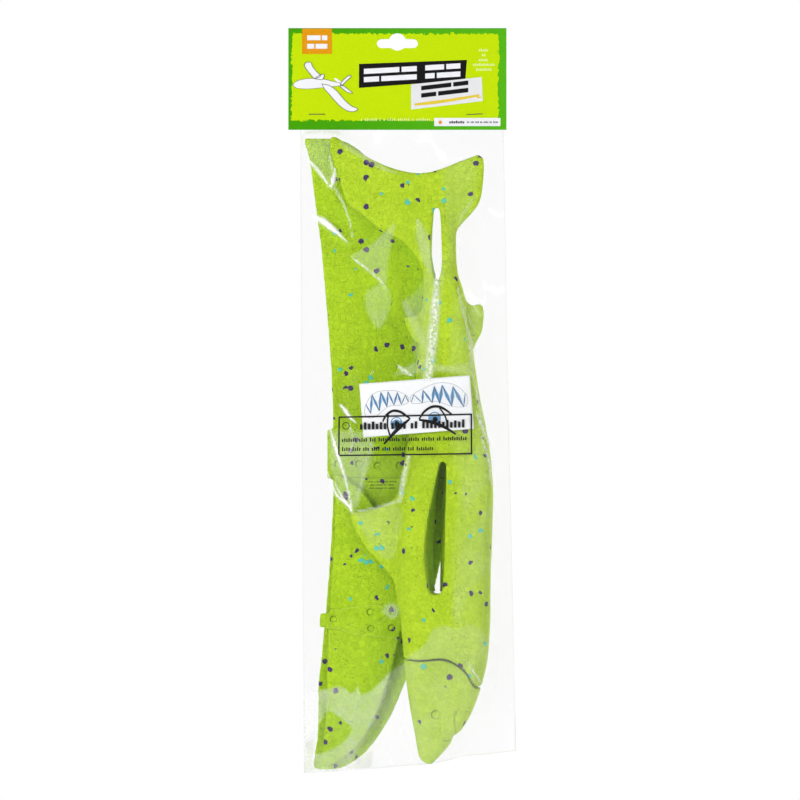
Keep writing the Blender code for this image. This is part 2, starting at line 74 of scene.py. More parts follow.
# --- shader helpers ---
class Graph:
    """Adds shader nodes to a new material, or to the world, and joins them."""

    def __init__(self, name, owners=None):
        self.owner = (bpy.data.materials if owners is None else owners).new(name)
        self.owner.use_nodes = True
        self.tree = self.owner.node_tree
        self.tree.nodes.clear()

    def put(self, kind, inputs=None, out=0, **settings):
        node = self.tree.nodes.new("ShaderNode" + kind)
        for key, value in settings.items():
            setattr(node, key, value)
        for key, value in (inputs or {}).items():
            self.join(value, node.inputs[key])
        return node.outputs[out]

    def join(self, value, socket):
        if isinstance(value, bpy.types.NodeSocket):
            self.tree.links.new(value, socket)
        else:
            socket.default_value = value

    def place(self):
        return self.put("TexCoord", out="Object")

    def math(self, operation, a, b=0.0, c=0.0):
        return self.put("Math", {0: a, 1: b, 2: c}, operation=operation)

    def times(self, a, b):
        return self.math("MULTIPLY", a, b)

    def weighted(self, *terms):
        """Sum of (value, weight) terms."""
        total, *rest = [self.times(value, weight) for value, weight in terms]
        for part in rest:
            total = self.math("ADD", total, part)
        return total

    def vector(self, operation, a, b):
        return self.put("VectorMath", {0: a, 1: b}, operation=operation)

    def mix(self, share, a, b):
        return self.put("Mix", {0: share, 6: a, 7: b}, out=2, data_type="RGBA")

    def step(self, value, low, high, to_low=0.0, to_high=1.0):
        inputs = {"Value": value, "From Min": low, "From Max": high, "To Min": to_low, "To Max": to_high}
        return self.put("MapRange", inputs, interpolation_type="SMOOTHSTEP")

    def noise(self, where, scale, detail=2.0, rough=0.5, **settings):
        inputs = {"Vector": where, "Scale": scale, "Detail": detail, "Roughness": rough}
        return self.put("TexNoise", inputs, **settings)

    def bump(self, strength, distance, height):
        return self.put("Bump", {"Strength": strength, "Distance": distance, "Height": height})

    def principled(self, colour, rough, normal, **others):
        inputs = {"Base Color": colour, "Roughness": rough, "Normal": normal}
        inputs.update({key.replace("_", " "): value for key, value in others.items()})
        return self.finish(self.put("BsdfPrincipled", inputs))

    def finish(self, shader, kind="OutputMaterial"):
        self.join(shader, self.tree.nodes.new("ShaderNode" + kind).inputs["Surface"])
        return self.owner


def rgb(red, green, blue):
    """Linear colour from 0 to 255 display values."""
    values = []
    for value in (red, green, blue):
        share = value / 255
        values.append(share / 12.92 if share <= 0.04045 else ((share + 0.055) / 1.055) ** 2.4)
    return (*values, 1.0)


def dimmed(colour, share):
    return (*(share * value for value in colour[:3]), 1.0)


def foam_material(name, light, dark):
    """Moulded bead foam: faceted beads, a few of them purple or teal, with fine pores."""
    g = Graph(name)
    where = g.place()
    wobble = g.vector("SUBTRACT", g.noise(where, 420.0, out="Color"), (0.5, 0.5, 0.5))
    bent = g.put("VectorMath", {0: wobble, "Scale": 0.0016}, operation="SCALE")
    beads = {"Vector": g.vector("ADD", where, bent), "Scale": BEADS_PER_METRE}
    cell = g.put("TexVoronoi", beads, out="Color", feature="F1")
    edge = g.put("TexVoronoi", beads, feature="DISTANCE_TO_EDGE")
    pick = g.put("SeparateColor", {"Color": cell}, out=0)
    shade = g.put("SeparateColor", {"Color": cell}, out=1)
    large = g.noise(where, 30.0, 3.0, 0.6)
    grain = g.noise(where, 620.0, 3.0, 0.65)
    fine = g.noise(where, 1100.0, 2.0, 0.6)
    tone = g.weighted((shade, 0.10), (large, 0.25), (grain, 0.45), (fine, 0.20))
    base = g.mix(g.step(tone, 0.38, 0.62), dark, light)
    seam = g.step(edge, 0.0, 0.08, 1.0, 0.0)
    base = g.mix(g.times(seam, 0.09), base, dimmed(dark, 0.6))
    # Pores: small pits, darkened with painted shade and sunk by the bump below.
    pore_cell = g.put("TexVoronoi", {"Vector": where, "Scale": PORES_PER_METRE}, out="Distance")
    pore_pick = g.put("SeparateColor", {"Color": pore_cell.node.outputs["Color"]}, out=1)
    pore = g.times(g.step(pore_cell, 0.14, 0.30, 1.0, 0.0), g.math("LESS_THAN", pore_pick, PORE_SHARE))
    base = g.mix(g.times(pore, 0.5), base, dimmed(dark, 0.5))
    whole = g.math("LESS_THAN", cell.node.outputs["Distance"], 0.58)
    core = g.times(g.step(edge, 0.0, 0.03), whole)
    purple = g.times(g.math("LESS_THAN", pick, PURPLE_SHARE), core)
    teal = g.times(g.math("GREATER_THAN", pick, 1.0 - TEAL_SHARE), core)
    base = g.mix(g.times(purple, 0.97), base, rgb(62, 34, 104))
    base = g.mix(g.times(teal, 0.92), base, rgb(76, 200, 182))
    # Painted shade in the grooves of the mould marks and along the seam, and a painted highlight on their lit
    # edges and down the wing slot's wall.
    painted_shading = g.put("Attribute", out="Fac", attribute_name="painted_shading")
    base = g.mix(g.step(painted_shading, 0.0, 1.0, 0.0, 0.8), base, dimmed(dark, 0.3))
    base = g.mix(g.step(painted_shading, -1.0, 0.0, 0.6, 0.0), base, (0.78, 0.92, 0.25, 1.0))
    swell = g.step(edge, 0.0, 0.14)
    height = g.weighted((swell, 0.3), (grain, 0.45), (fine, 0.25), (pore, -0.3))
    soft = g.step(grain, 0.3, 0.7, 0.5, 0.68)
    return g.principled(
        base, soft, g.bump(1.0, 0.0010, height), Specular_IOR_Level=0.22,
        Subsurface_Weight=0.10, Subsurface_Radius=(0.003, 0.003, 0.0005), Subsurface_Scale=1.0,
    )


def print_material(name, colour, rough=0.42, speck=0.05):
    """Ink or coated stock with a faint mottle."""
    g = Graph(name)
    where = g.place()
    mottle = g.step(g.noise(where, 900.0, 3.0, 0.6), 0.3, 0.7)
    bump = g.bump(0.06, 0.0001, g.noise(where, 2600.0, 2.0))
    paint = g.mix(mottle, dimmed(colour, 1 - 2 * speck), colour)
    return g.principled(paint, g.step(mottle, 0.0, 1.0, rough, rough + 0.08), bump, Specular_IOR_Level=0.18)


def film_print_material(name, colour):
    """Thin ink printed on clear film, slightly patchy."""
    g = Graph(name)
    wear = g.step(g.noise(g.place(), 1500.0, 2.0, 0.6), 0.2, 0.5, 0.88, 1.0)
    ink = g.put("BsdfPrincipled", {"Base Color": colour, "Roughness": 0.35})
    clear = g.put("BsdfTransparent", {"Color": (1.0, 1.0, 1.0, 1.0)})
    return g.finish(g.put("MixShader", {0: wear, 1: clear, 2: ink}))


def steel_material(name, colour, rough):
    """Bright steel with fine drawing lines."""
    g = Graph(name)
    lines = g.noise(g.vector("MULTIPLY", g.place(), (120.0, 3000.0, 3000.0)), 1.0, 3.0, 0.6)
    bump = g.bump(0.12, 0.00008, lines)
    paint = g.mix(lines, dimmed(colour, 0.72), colour)
    return g.principled(paint, g.step(lines, 0.2, 0.8, rough, rough + 0.18), bump, Metallic=1.0)


def card_material(name):
    """Coated card: a lime panel with rough brushed edges inside a green border, front and back."""
    g = Graph(name)
    where = g.place()
    axes = g.put("SeparateXYZ", {0: where}).node
    x, z = axes.outputs["X"], axes.outputs["Z"]
    flat = g.put("CombineXYZ", {0: x, 1: 0.0, 2: z})
    torn = g.math("SUBTRACT", g.noise(flat, 260.0, 3.0, 0.55), 0.5)
    bristle = g.math("SUBTRACT", g.noise(g.vector("MULTIPLY", flat, (900.0, 1.0, 90.0)), 1.0, 1.0), 0.5)
    rough = g.weighted((torn, 0.006), (bristle, 0.0016))
    off_x, off_z = (
        g.math("SUBTRACT", g.math("ABSOLUTE", g.math("SUBTRACT", value, middle)), half)
        for value, middle, half in ((x, -0.0017, 0.0757), (z, -0.0322, 0.0318))
    )
    off = g.math("SMOOTH_MAX", off_x, off_z, 0.004)
    panel = g.step(g.math("ADD", off, rough), -0.0001, 0.0001, 1.0, 0.0)
    border = g.mix(g.step(x, -0.08, 0.08), rgb(66, 158, 0), rgb(84, 178, 20))
    mottle = g.noise(where, 700.0, 3.0, 0.6)
    border = g.mix(g.step(mottle, 0.3, 0.8, 0.0, 0.22), border, rgb(52, 140, 0))
    lime = g.mix(g.step(mottle, 0.3, 0.8), rgb(188, 217, 0), rgb(194, 223, 2))
    bump = g.bump(0.05, 0.0001, g.noise(where, 2200.0, 2.0))
    gloss = g.step(mottle, 0.2, 0.8, 0.34, 0.44)
    return g.principled(g.mix(panel, border, lime), gloss, bump, Specular_IOR_Level=0.18)


def film_material(name):
    """Clear glossy film: sharp reflections at its folds, with a painted white sheen that stands for
    reflection where it stands off the foam and for glare along its folds.
    """
    white = (1.0, 1.0, 1.0, 1.0)
    g = Graph(name)
    where = g.place()
    # Painted sheen: diffuse white mixed in where the film stands off the foam and along folds, in place of
    # reflected light, over a faint even haze.
    painted_sheen = g.put("Attribute", out="Fac", attribute_name="painted_sheen")
    patchy = g.step(g.noise(where, 60.0, 3.0, 0.6), 0.25, 0.7, 0.72, 1.15)
    grain = g.step(g.noise(where, 520.0, 2.0, 0.5), 0.3, 0.62, 0.35, 1.1)
    broken = g.mix(g.step(painted_sheen, 0.26, 0.34), white, g.put("CombineXYZ", {0: grain, 1: grain, 2: grain}))
    broken = g.mix(g.step(painted_sheen, 0.6, 0.75), broken, white)
    cover = g.math("ADD", 0.006, g.times(g.times(painted_sheen, patchy), broken))
    bump = g.bump(0.06, 0.0006, g.noise(where, 160.0, 2.0, 0.5))
    clear = g.put("BsdfTransparent", {"Color": (0.994, 0.994, 0.995, 1.0)})
    haze_and_sheen = g.put("BsdfDiffuse", {"Color": (0.97, 0.97, 0.96, 1.0)})
    body = g.put("MixShader", {0: g.math("MINIMUM", cover, 1.0), 1: clear, 2: haze_and_sheen})
    shine = g.put("BsdfGlossy", {"Color": white, "Roughness": 0.07, "Normal": bump})
    edge = g.put("Fresnel", {"IOR": 1.32, "Normal": bump})
    return g.finish(g.put("MixShader", {0: g.math("MINIMUM", edge, 0.22), 1: body, 2: shine}))


# --- mesh helpers ---
def run(points, at):
    """Value along a run of (place, value) pairs, in order of place."""
    places, values = zip(*sorted(points))
    return np.interp(at, places, values)


def smooth(low, high, value):
    share = np.clip((value - low) / (high - low), 0.0, 1.0)
    return share * share * (3 - 2 * share)


def ridge(away, width):
    """Rounded profile: 1 on a line, fading over a width."""
    return np.exp(-(away / width) ** 2)


def circle(cx, cz, radius, count, start=0.0, end=math.tau):
    """Points round a circle, the first and the last one alike when it is full."""
    return [(cx + radius * math.cos(t), cz + radius * math.sin(t)) for t in np.linspace(start, end, count)]


def linked(name, data):
    thing = bpy.data.objects.new(name, data)
    SCENE.collection.objects.link(thing)
    return thing


def evaluated_mesh(thing):
    """New mesh of an object with its modifiers or its bevel worked in."""
    bpy.context.view_layer.update()
    return bpy.data.meshes.new_from_object(thing.evaluated_get(bpy.context.evaluated_depsgraph_get()))


def show(name, mesh, material, body, replaces=(), soft=True):
    """Links a mesh in the row frame and tells the frame what it is."""
    mesh.materials.clear()
    mesh.materials.append(material)
    mesh.polygons.foreach_set("use_smooth", [soft] * len(mesh.polygons))
    piece = linked(name, mesh)
    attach(piece, body)
    if replaces:
        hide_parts(*replaces)
    return piece


def mesh_from(name, points, faces):
    """Mesh of points in mm."""
    mesh = bpy.data.meshes.new(name)
    mesh.from_pydata([tuple(Vector(p) * MM) for p in points], [], faces)
    mesh.update()
    return mesh


def worked(mesh, action):
    """Runs a bmesh action on a mesh."""
    bm = bmesh.new()
    bm.from_mesh(mesh)
    action(bm)
    bm.to_mesh(mesh)
    bm.free()
    mesh.update()


def grid_faces(rows, columns, start=0, flip=False):
    """Quads of a grid of points, row after row."""
    faces = []
    order = (0, 3, 2, 1) if flip else (0, 1, 2, 3)
    for row in range(rows - 1):
        for col in range(columns - 1):
            a = start + row * columns + col
            quad = (a, a + 1, a + columns + 1, a + columns)
            faces.append([quad[corner] for corner in order])
    return faces


def thick_sheet(name, outer, inner, wide):
    """Closed sheet between two grids of points in mm, joined round the edge."""
    count = len(outer)
    faces = grid_faces(count // wide, wide) + grid_faces(count // wide, wide, count, True)
    edge = [*range(wide), *range(2 * wide - 1, count, wide)]
    edge += [*range(count - 2, count - wide - 1, -1), *range(count - 2 * wide, 0, -wide)]
    faces += [[b, a, count + a, count + b] for a, b in zip(edge, edge[1:] + edge[:1])]
    return mesh_from(name, outer + inner, faces)


def remeshed(source, size, passes):
    """Even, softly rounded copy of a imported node's mesh."""
    mesh = source.data.copy()
    worked(mesh, lambda bm: bmesh.ops.remove_doubles(bm, verts=bm.verts, dist=2e-6))
    temp = linked("soft_" + source.name, mesh)
    voxels = temp.modifiers.new("even", "REMESH")
    voxels.mode = "VOXEL"
    voxels.voxel_size = size * MM
    relax = temp.modifiers.new("relax", "SMOOTH")
    relax.factor = 0.5
    relax.iterations = passes
    made = evaluated_mesh(temp)
    bpy.data.objects.remove(temp)
    return made


def vertex_arrays(mesh):
    """Vertex places in mm and vertex normals."""
    places, normals = np.zeros((2, len(mesh.vertices) * 3), np.float32)
    mesh.vertices.foreach_get("co", places)
    mesh.vertex_normals.foreach_get("vector", normals)
    return places.reshape(-1, 3).astype(float) / MM, normals.reshape(-1, 3).astype(float)


def set_vertices(mesh, places):
    mesh.vertices.foreach_set("co", (places * MM).astype(np.float32).ravel())
    mesh.update()


def set_attribute(mesh, name, values):
    attribute = mesh.attributes.new(name, "FLOAT", "POINT")
    attribute.data.foreach_set("value", np.asarray(values, np.float32))


def bvh_of(*pieces):
    points, faces = [], []
    for piece in pieces:
        start = len(points)
        points += [v.co.copy() for v in piece.data.vertices]
        faces += [[start + i for i in p.vertices] for p in piece.data.polygons]
    return BVHTree.FromPolygons(points, faces)


def from_segment(start, end, x, z):
    """Distance in mm from a segment in the XZ plane, and the share of it where the nearest point lies."""
    dx, dz = end[0] - start[0], end[1] - start[1]
    t = np.clip(((x - start[0]) * dx + (z - start[1]) * dz) / (dx * dx + dz * dz), 0, 1)
    return np.hypot(x - start[0] - t * dx, z - start[1] - t * dz), t


def along(points, x, z):
    """Distance in mm from a broken line in the XZ plane."""
    best = np.full(x.shape, 1e9)
    for start, end in zip(points, points[1:]):
        best = np.minimum(best, from_segment(start, end, x, z)[0])
    return best


def undulate(places, normals, scale, amount):
    """Soft unevenness of a moulded surface."""
    shift = np.array([noise.noise(Vector(p / scale)) for p in places])
    return places + normals * (shift * amount)[:, None]


def refine(mesh, near, cuts=2):
    """Splits the faces whose corners all lie where near(x, y, z) is true, in mm, for small moulded marks."""
    def split(bm):
        chosen = {v for v in bm.verts if near(*(v.co / MM))}
        edges = [e for e in bm.edges if e.verts[0] in chosen and e.verts[1] in chosen]
        bmesh.ops.subdivide_edges(bm, edges=edges, cuts=cuts, use_grid_fill=True)

    worked(mesh, split)


def near_points(centres, radius):
    return lambda x, y, z: any(math.hypot(x - cx, z - cz) < radius for cx, cz in centres)


def near_line(points, radius):
    return lambda x, y, z: along(points, np.array([x]), np.array([z]))[0] < radius


# --- foam pieces ---
def slot_walls(places, outline, share):
    """Moulding draft: both walls of a through slot lean in towards its narrow middle depth."""
    x, y, z = places.T
    left = run([(pz, px) for px, _, pz in outline], z)
    right = run([(pz, px) for _, px, pz in outline], z)
    inside = (x > left - 1.2) & (x < right + 1.2)
    inside &= (z > min(pz for _, _, pz in outline)) & (z < max(pz for _, _, pz in outline))
    depth = np.clip(1 - np.abs((y - SLOT_MIDDLE) / SLOT_HALF_DEPTH), 0, 1)
    places = places.copy()
    places[:, 0] += ((left + right) / 2 - x) * (inside * share * smooth(0.0, 1.0, depth))
    return places


# Wing slot seen from the front: left wall, right wall, height, in mm. Then the depth where it is narrowest.
WING_SLOT = [(27.4, 35, -313), (25.6, 36, -330), (23.4, 36.2, -357), (21.5, 35.8, -385), (22.6, 35.2, -402),
    (25, 34, -409.5)]
SLOT_MIDDLE = 1.0
SLOT_HALF_DEPTH = 11.0

# Lines in mm: the painted highlight that runs down the wing slot's wall, the glued seam where shade is
# painted, and the marks of the moulds.
SLOT_GLINT = [(29.6, -322), (30.7, -350), (30.5, -386)]
SEAM = [(6.3, -458.9), (12.9, -459.4), (19, -459.7), (31.3, -458.9), (41, -461.1), (48.4, -466),
    (53.3, -472.6), (56.9, -478.2), (60.6, -480.1)]
NOSE_RING = [(27.8, -498.9)]
MOUTH_CREASE = [(45.2, -494.4), (43.4, -496.8), (41.8, -499.6), (41.9, -504), (42.7, -513.4)]
NOSTRIL = [(33.4, -518.4), (39, -518.4)]
WING_PIPS = [(-43.6, -316.1), (-28.2, -316.1), (-14.5, -317.5), (1.8, -317.1)]
TAIL_PIPS = [(-46.9, -430.1), (-19.8, -424.7), (-3.2, -424.2), (-19.4, -436.9), (-4.1, -436.4)]
# Upper and lower edge of the thicker centre bands.
WING_BAND = ([(-60, -289.9), (60, -289.9)], [(-60, -325.6), (60, -325.6)])
TAIL_BAND = (
    [(-60, -424.4), (-42, -422.9), (-29, -420.6), (-20, -419.9), (10, -419.2)],
    [(-60, -436), (-42, -437.1), (-33, -440.8), (-20, -442.3), (-7, -443.7), (10, -445.9)],
)
WING_TOP = -77.2
RING_RADIUS = 2.9
PIP_RADIUS = 2.3
DISC_LIFT = 0.35
GROOVE_DEPTH = 0.8
BAND_EDGE = 0.35


def make_body(material):
    mesh = remeshed(NODES["fuselage"], 1.2, 4)
    places, normals = vertex_arrays(mesh)
    places = slot_walls(places, WING_SLOT, 0.62)
    set_vertices(mesh, undulate(places, normals, 16.0, 0.22))
    # Painted shade along the glued seam, and painted highlights down the wing slot's wall.
    shade_marks(mesh, [], 1.0, [(SEAM, 0.9)], [(SLOT_GLINT, 0.6), (shifted(SLOT_GLINT, 0.1), 0.3)])
    return show("foam_body", mesh, material, "glider_body", ["fuselage"])


def marks(places, normals, centres, radius):
    """Round ejector marks: a low disc inside a ring groove."""
    x, z = places[:, 0], places[:, 2]
    lift = np.zeros(len(places))
    for cx, cz in centres:
        away = np.hypot(x - cx, z - cz)
        lift += DISC_LIFT * (1 - smooth(radius - 0.6, radius, away))
        lift -= GROOVE_DEPTH * ridge(away - radius, 0.5)
    return raised(places, normals, lift)


def raised(places, normals, lift):
    """Moves the front faces out by a lift in mm."""
    front = np.clip(-normals[:, 1], 0, 1)
    return places + normals * (front * lift)[:, None]


def shade_marks(mesh, centres, radius, grooves=(), ridges=()):
    """Attribute of painted shading: 1 where shade is painted in the grooves of the mould's marks, -1 where a
    highlight is painted on their lit edges.
    """
    places, normals = vertex_arrays(mesh)
    x, z = places[:, 0], places[:, 2]
    painted_shading = np.zeros(len(places))
    for cx, cz in centres:
        away = np.hypot(x - cx, z - cz)
        across = (x - cx - 0.5 * (z - cz)) / np.maximum(away, 0.2) / 1.12
        painted_shading += ridge(away - radius, 0.55) * (0.5 - 0.5 * across)
        painted_shading -= 0.55 * ridge(away - radius + 0.9, 0.5) * np.clip(across, 0, 1)
    for line, strength in grooves:
        painted_shading += strength * ridge(along(line, x, z), 0.5)
    for line, strength in ridges:
        painted_shading -= strength * ridge(along(line, x, z), 0.45)
    set_attribute(mesh, "painted_shading", painted_shading * (normals[:, 1] < 0.1))


def shifted(line, down):
    return [(x, z - down) for x, z in line]


def make_nose(material):
    """Nose with its moulding ring, mouth crease and nostril step."""
    mesh = remeshed(NODES["nose_block"], 1.0, 4)
    refine(mesh, near_points(NOSE_RING, 4.6))
    refine(mesh, near_line(MOUTH_CREASE, 2.2), 1)
    refine(mesh, near_line(NOSTRIL, 2.2), 1)
    places, normals = vertex_arrays(mesh)
    places = undulate(places, normals, 16.0, 0.2)
    places = marks(places, normals, NOSE_RING, RING_RADIUS)
    x, z = places[:, 0], places[:, 2]
    (cx, cz), = NOSE_RING
    lift = 0.7 * ridge(np.hypot(x - cx, z - cz), 0.9)
    lift += -0.8 * ridge(along(MOUTH_CREASE, x, z), 0.8)
    lift += -1.0 * ridge(along(NOSTRIL, x, z), 0.8)
    set_vertices(mesh, raised(places, normals, lift))
    # Painted shade in the mouth crease, the nostril step and the seam, and a painted highlight on the
    # nostril's lower edge.
    grooves = [(MOUTH_CREASE, 0.6), (NOSTRIL, 0.7), (SEAM, 0.9)]
    shade_marks(mesh, NOSE_RING, RING_RADIUS, grooves, [(shifted(NOSTRIL, 1.0), 0.5)])
    return show("foam_nose", mesh, material, "glider_body", ["nose_block"])


def banded(places, normals, band, lift):
    """Thicker centre band between two lines across the piece."""
    x, z = places[:, 0], places[:, 2]
    upper, lower = run(band[0], x), run(band[1], x)
    inside = smooth(-BAND_EDGE, BAND_EDGE, z - lower) * smooth(-BAND_EDGE, BAND_EDGE, upper - z)
    return raised(places, normals, inside * lift)


def make_wing(material):
    """Main wing: thicker centre band and ejector marks. Its lower tip is tucked in, its upper corner is
    drawn out, and its edge beside the tail slot reaches a little further under the body."""
    mesh = remeshed(NODES["main_wing"], 1.0, 3)
    upper, lower = WING_BAND
    refine(mesh, near_points(WING_PIPS, 4.0))
    refine(mesh, lambda x, y, z: abs(z - upper[0][1]) < 1.5 or abs(z - lower[0][1]) < 1.5, 1)
    places, normals = vertex_arrays(mesh)
    places = banded(places, normals, WING_BAND, 0.25)
    places = marks(places, normals, WING_PIPS, PIP_RADIUS)
    places = undulate(places, normals, 22.0, 0.15)
    x, z = places[:, 0], places[:, 2]
    tuck = smooth(-470.0, -522.0, z) * (1 - smooth(-58.0, -30.0, x))
    corner = smooth(-92.0, -80.0, z) * smooth(-58.0, -65.0, x)
    under_body = ridge(z + 168.0, 10.0) * smooth(4.0, 15.0, x)
    places[:, 0] += 4.6 * tuck - 1.6 * corner + 2.0 * under_body
    places[:, 2] = np.minimum(places[:, 2] + 1.2 * corner, WING_TOP)
    set_vertices(mesh, places)
    # Painted shade just outside the centre band's edges and painted highlights on the edges, with shading
    # round the ejector marks.
    grooves = [(shifted(upper, -0.8), 0.45), (shifted(lower, 0.5), 0.7)]
    shade_marks(mesh, WING_PIPS, PIP_RADIUS, grooves, [(upper, 0.45), (lower, 0.3)])
    return show("foam_wing", mesh, material, "wing", ["main_wing"])


def make_tailplane(material):
    mesh = remeshed(NODES["tailplane"], 0.9, 3)
    upper, lower = TAIL_BAND
    refine(mesh, near_points(TAIL_PIPS, 4.0))
    refine(mesh, lambda x, y, z: min(abs(z - run(upper, x)), abs(z - run(lower, x))) < 1.4, 1)
    places, normals = vertex_arrays(mesh)
    places = banded(places, normals, TAIL_BAND, 0.5)
    places = marks(places, normals, TAIL_PIPS, PIP_RADIUS)
    set_vertices(mesh, undulate(places, normals, 18.0, 0.2))
    # Painted shade just outside the centre band's edges and painted highlights on the edges, with shading
    # round the ejector marks.
    grooves = [(shifted(upper, -0.8), 0.32), (shifted(lower, 0.8), 0.4)]
    shade_marks(mesh, TAIL_PIPS, PIP_RADIUS, grooves, [(upper, 0.5), (lower, 0.45)])
    return show("foam_tailplane", mesh, material, "tail", ["tailplane"])


# --- flat prints laid on a curved surface ---
def laid(name, shapes, surface, cell):
    """Mesh of flat outlines (x, z in mm) cut into cells and laid on surface(x, z), which gives y in mm."""
    bm = bmesh.new()
    for outline in shapes:
        part = bmesh.new()
        part.faces.new([part.verts.new((px, 0.0, pz)) for px, pz in outline])
        for axis, values in zip((0, 2), zip(*outline)):
            for index in range(1, int((max(values) - min(values)) / cell) + 1):
                spot, direction = [0.0, 0.0, 0.0], [0.0, 0.0, 0.0]
                spot[axis] = min(values) + index * cell
                direction[axis] = 1.0
                everything = part.verts[:] + part.edges[:] + part.faces[:]
                bmesh.ops.bisect_plane(part, geom=everything, plane_co=spot, plane_no=direction)
        copies = {v: bm.verts.new(v.co) for v in part.verts}
        for f in part.faces:
            bm.faces.new([copies[v] for v in f.verts])
        part.free()
    bmesh.ops.triangulate(bm, faces=bm.faces[:])
    for v in bm.verts:
        v.co = Vector((v.co.x, surface(v.co.x, v.co.z), v.co.z)) * MM
    bmesh.ops.recalc_face_normals(bm, faces=bm.faces[:])
    mesh = bpy.data.meshes.new(name)
    bm.to_mesh(mesh)
    bm.free()
    return mesh


def box_outline(x0, z0, x1, z1):
    return [(x0, z0), (x1, z0), (x1, z1), (x0, z1)]


def strip(sides):
    """Quads between pairs of points on the two sides of a line."""
    return [[tuple(a[0]), tuple(b[0]), tuple(b[1]), tuple(a[1])] for a, b in zip(sides, sides[1:])]


def stroke(points, width, closed=False):
    """Quads along a broken line, one per segment, with mitred joins."""
    line = [Vector(p) for p in points]
    count = len(line)
    sides = []
    for index, here in enumerate(line):
        before = line[(index - 1) % count] if closed or index else here
        after = line[(index + 1) % count] if closed or index < count - 1 else here
        first, last = (here - before), (after - here)
        first = first.normalized() if first.length else last.normalized()
        last = last.normalized() if last.length else first
        normal = Vector((-(first + last).y, (first + last).x))
        normal = normal.normalized() if normal.length > 1e-6 else Vector((-first.y, first.x))
        reach = width / 2 / max(0.45, normal.dot(Vector((-last.y, last.x))))
        sides.append((here + normal * reach, here - normal * reach))
    return strip(sides + sides[:1] if closed else sides)


def tapered(points, widths):
    """Quads along a line whose width changes from point to point."""
    line = [Vector(p) for p in points]
    sides = []
    for index, here in enumerate(line):
        way = line[min(index + 1, len(line) - 1)] - line[max(index - 1, 0)]
        normal = Vector((-way.y, way.x)).normalized()
        sides.append((here + normal * widths[index] / 2, here - normal * widths[index] / 2))
    return strip(sides)


def curve_through(points, steps=6):
    """Smooth open curve through points."""
    padded = [points[0], *points, points[-1]]
    made = []
    for p0, p1, p2, p3 in zip(padded, padded[1:], padded[2:], padded[3:]):
        for step in range(steps):
            t = step / steps
            made.append(tuple(
                0.5 * (2 * b + (c - a) * t + (2 * a - 5 * b + 4 * c - d) * t**2
                       + (3 * b - a - 3 * c + d) * t**3)
                for a, b, c, d in zip(p0, p1, p2, p3)
            ))
    return [*made, tuple(points[-1])]


def turned(point, centre, angle):
    """A point drawn about the origin, turned and moved to a centre."""
    x, z = point
    c, s = math.cos(angle), math.sin(angle)
    return centre[0] + x * c - z * s, centre[1] + x * s + z * c


def word_bars(x0, z0, x1, height, words, slope, gap):
    """A row of solid blocks that stands for a line of lettering."""
    room = (x1 - x0) - gap * (len(words) - 1)
    bars, x = [], x0
    for length in words:
        wide = room * length / sum(words)
        low, high = z0 + slope * (x - x0), z0 + slope * (x + wide - x0)
        bars.append([(x, low), (x + wide, high), (x + wide, high + height), (x, low + height)])
        x += wide + gap
    return bars


def tick_bars(x0, z0, x1, height, words, slope=0.0, gap=1.1, ink=0.56):
    """A row of short ticks in groups, each group standing for a word of small print."""
    bars = []
    room = (x1 - x0) - gap * (len(words) - 1)
    pitch = room / sum(words)
    x, place = x0, 0
    for length in words:
        for _ in range(length):
            low = z0 + slope * (x - x0)
            tall = height * (1.0, 0.76, 0.9, 0.7)[(place * 7 + length) % 4]
            bars.append(box_outline(x, low, x + pitch * ink, low + tall))
            x += pitch
            place += 1
        x += gap
    return bars


# --- header card ---
def card_y(x, z, back=False):
    """Y of a panel's face: it bows out a little between the staples and the fold, and waves at the hem."""
    bow, curl, wave = (0.3, 0.4, math.sin(x / 21.0 + 1.0)) if back else (0.45, 0.5, math.cos(x / 17.0))
    away = 1 - min(1.0, abs(x) / CARD_HALF) ** 2
    low = max(0.0, min(1.0, (-12.0 - z) / 30.0)) * max(0.0, min(1.0, (z + 59.5) / 18.0))
    hem = max(0.0, min(1.0, (-60.5 - z) / 10.3))
    out = CARD_DEPTH + bow * away * low + curl * hem * (0.6 + 0.4 * wave)
    return out if back else -out


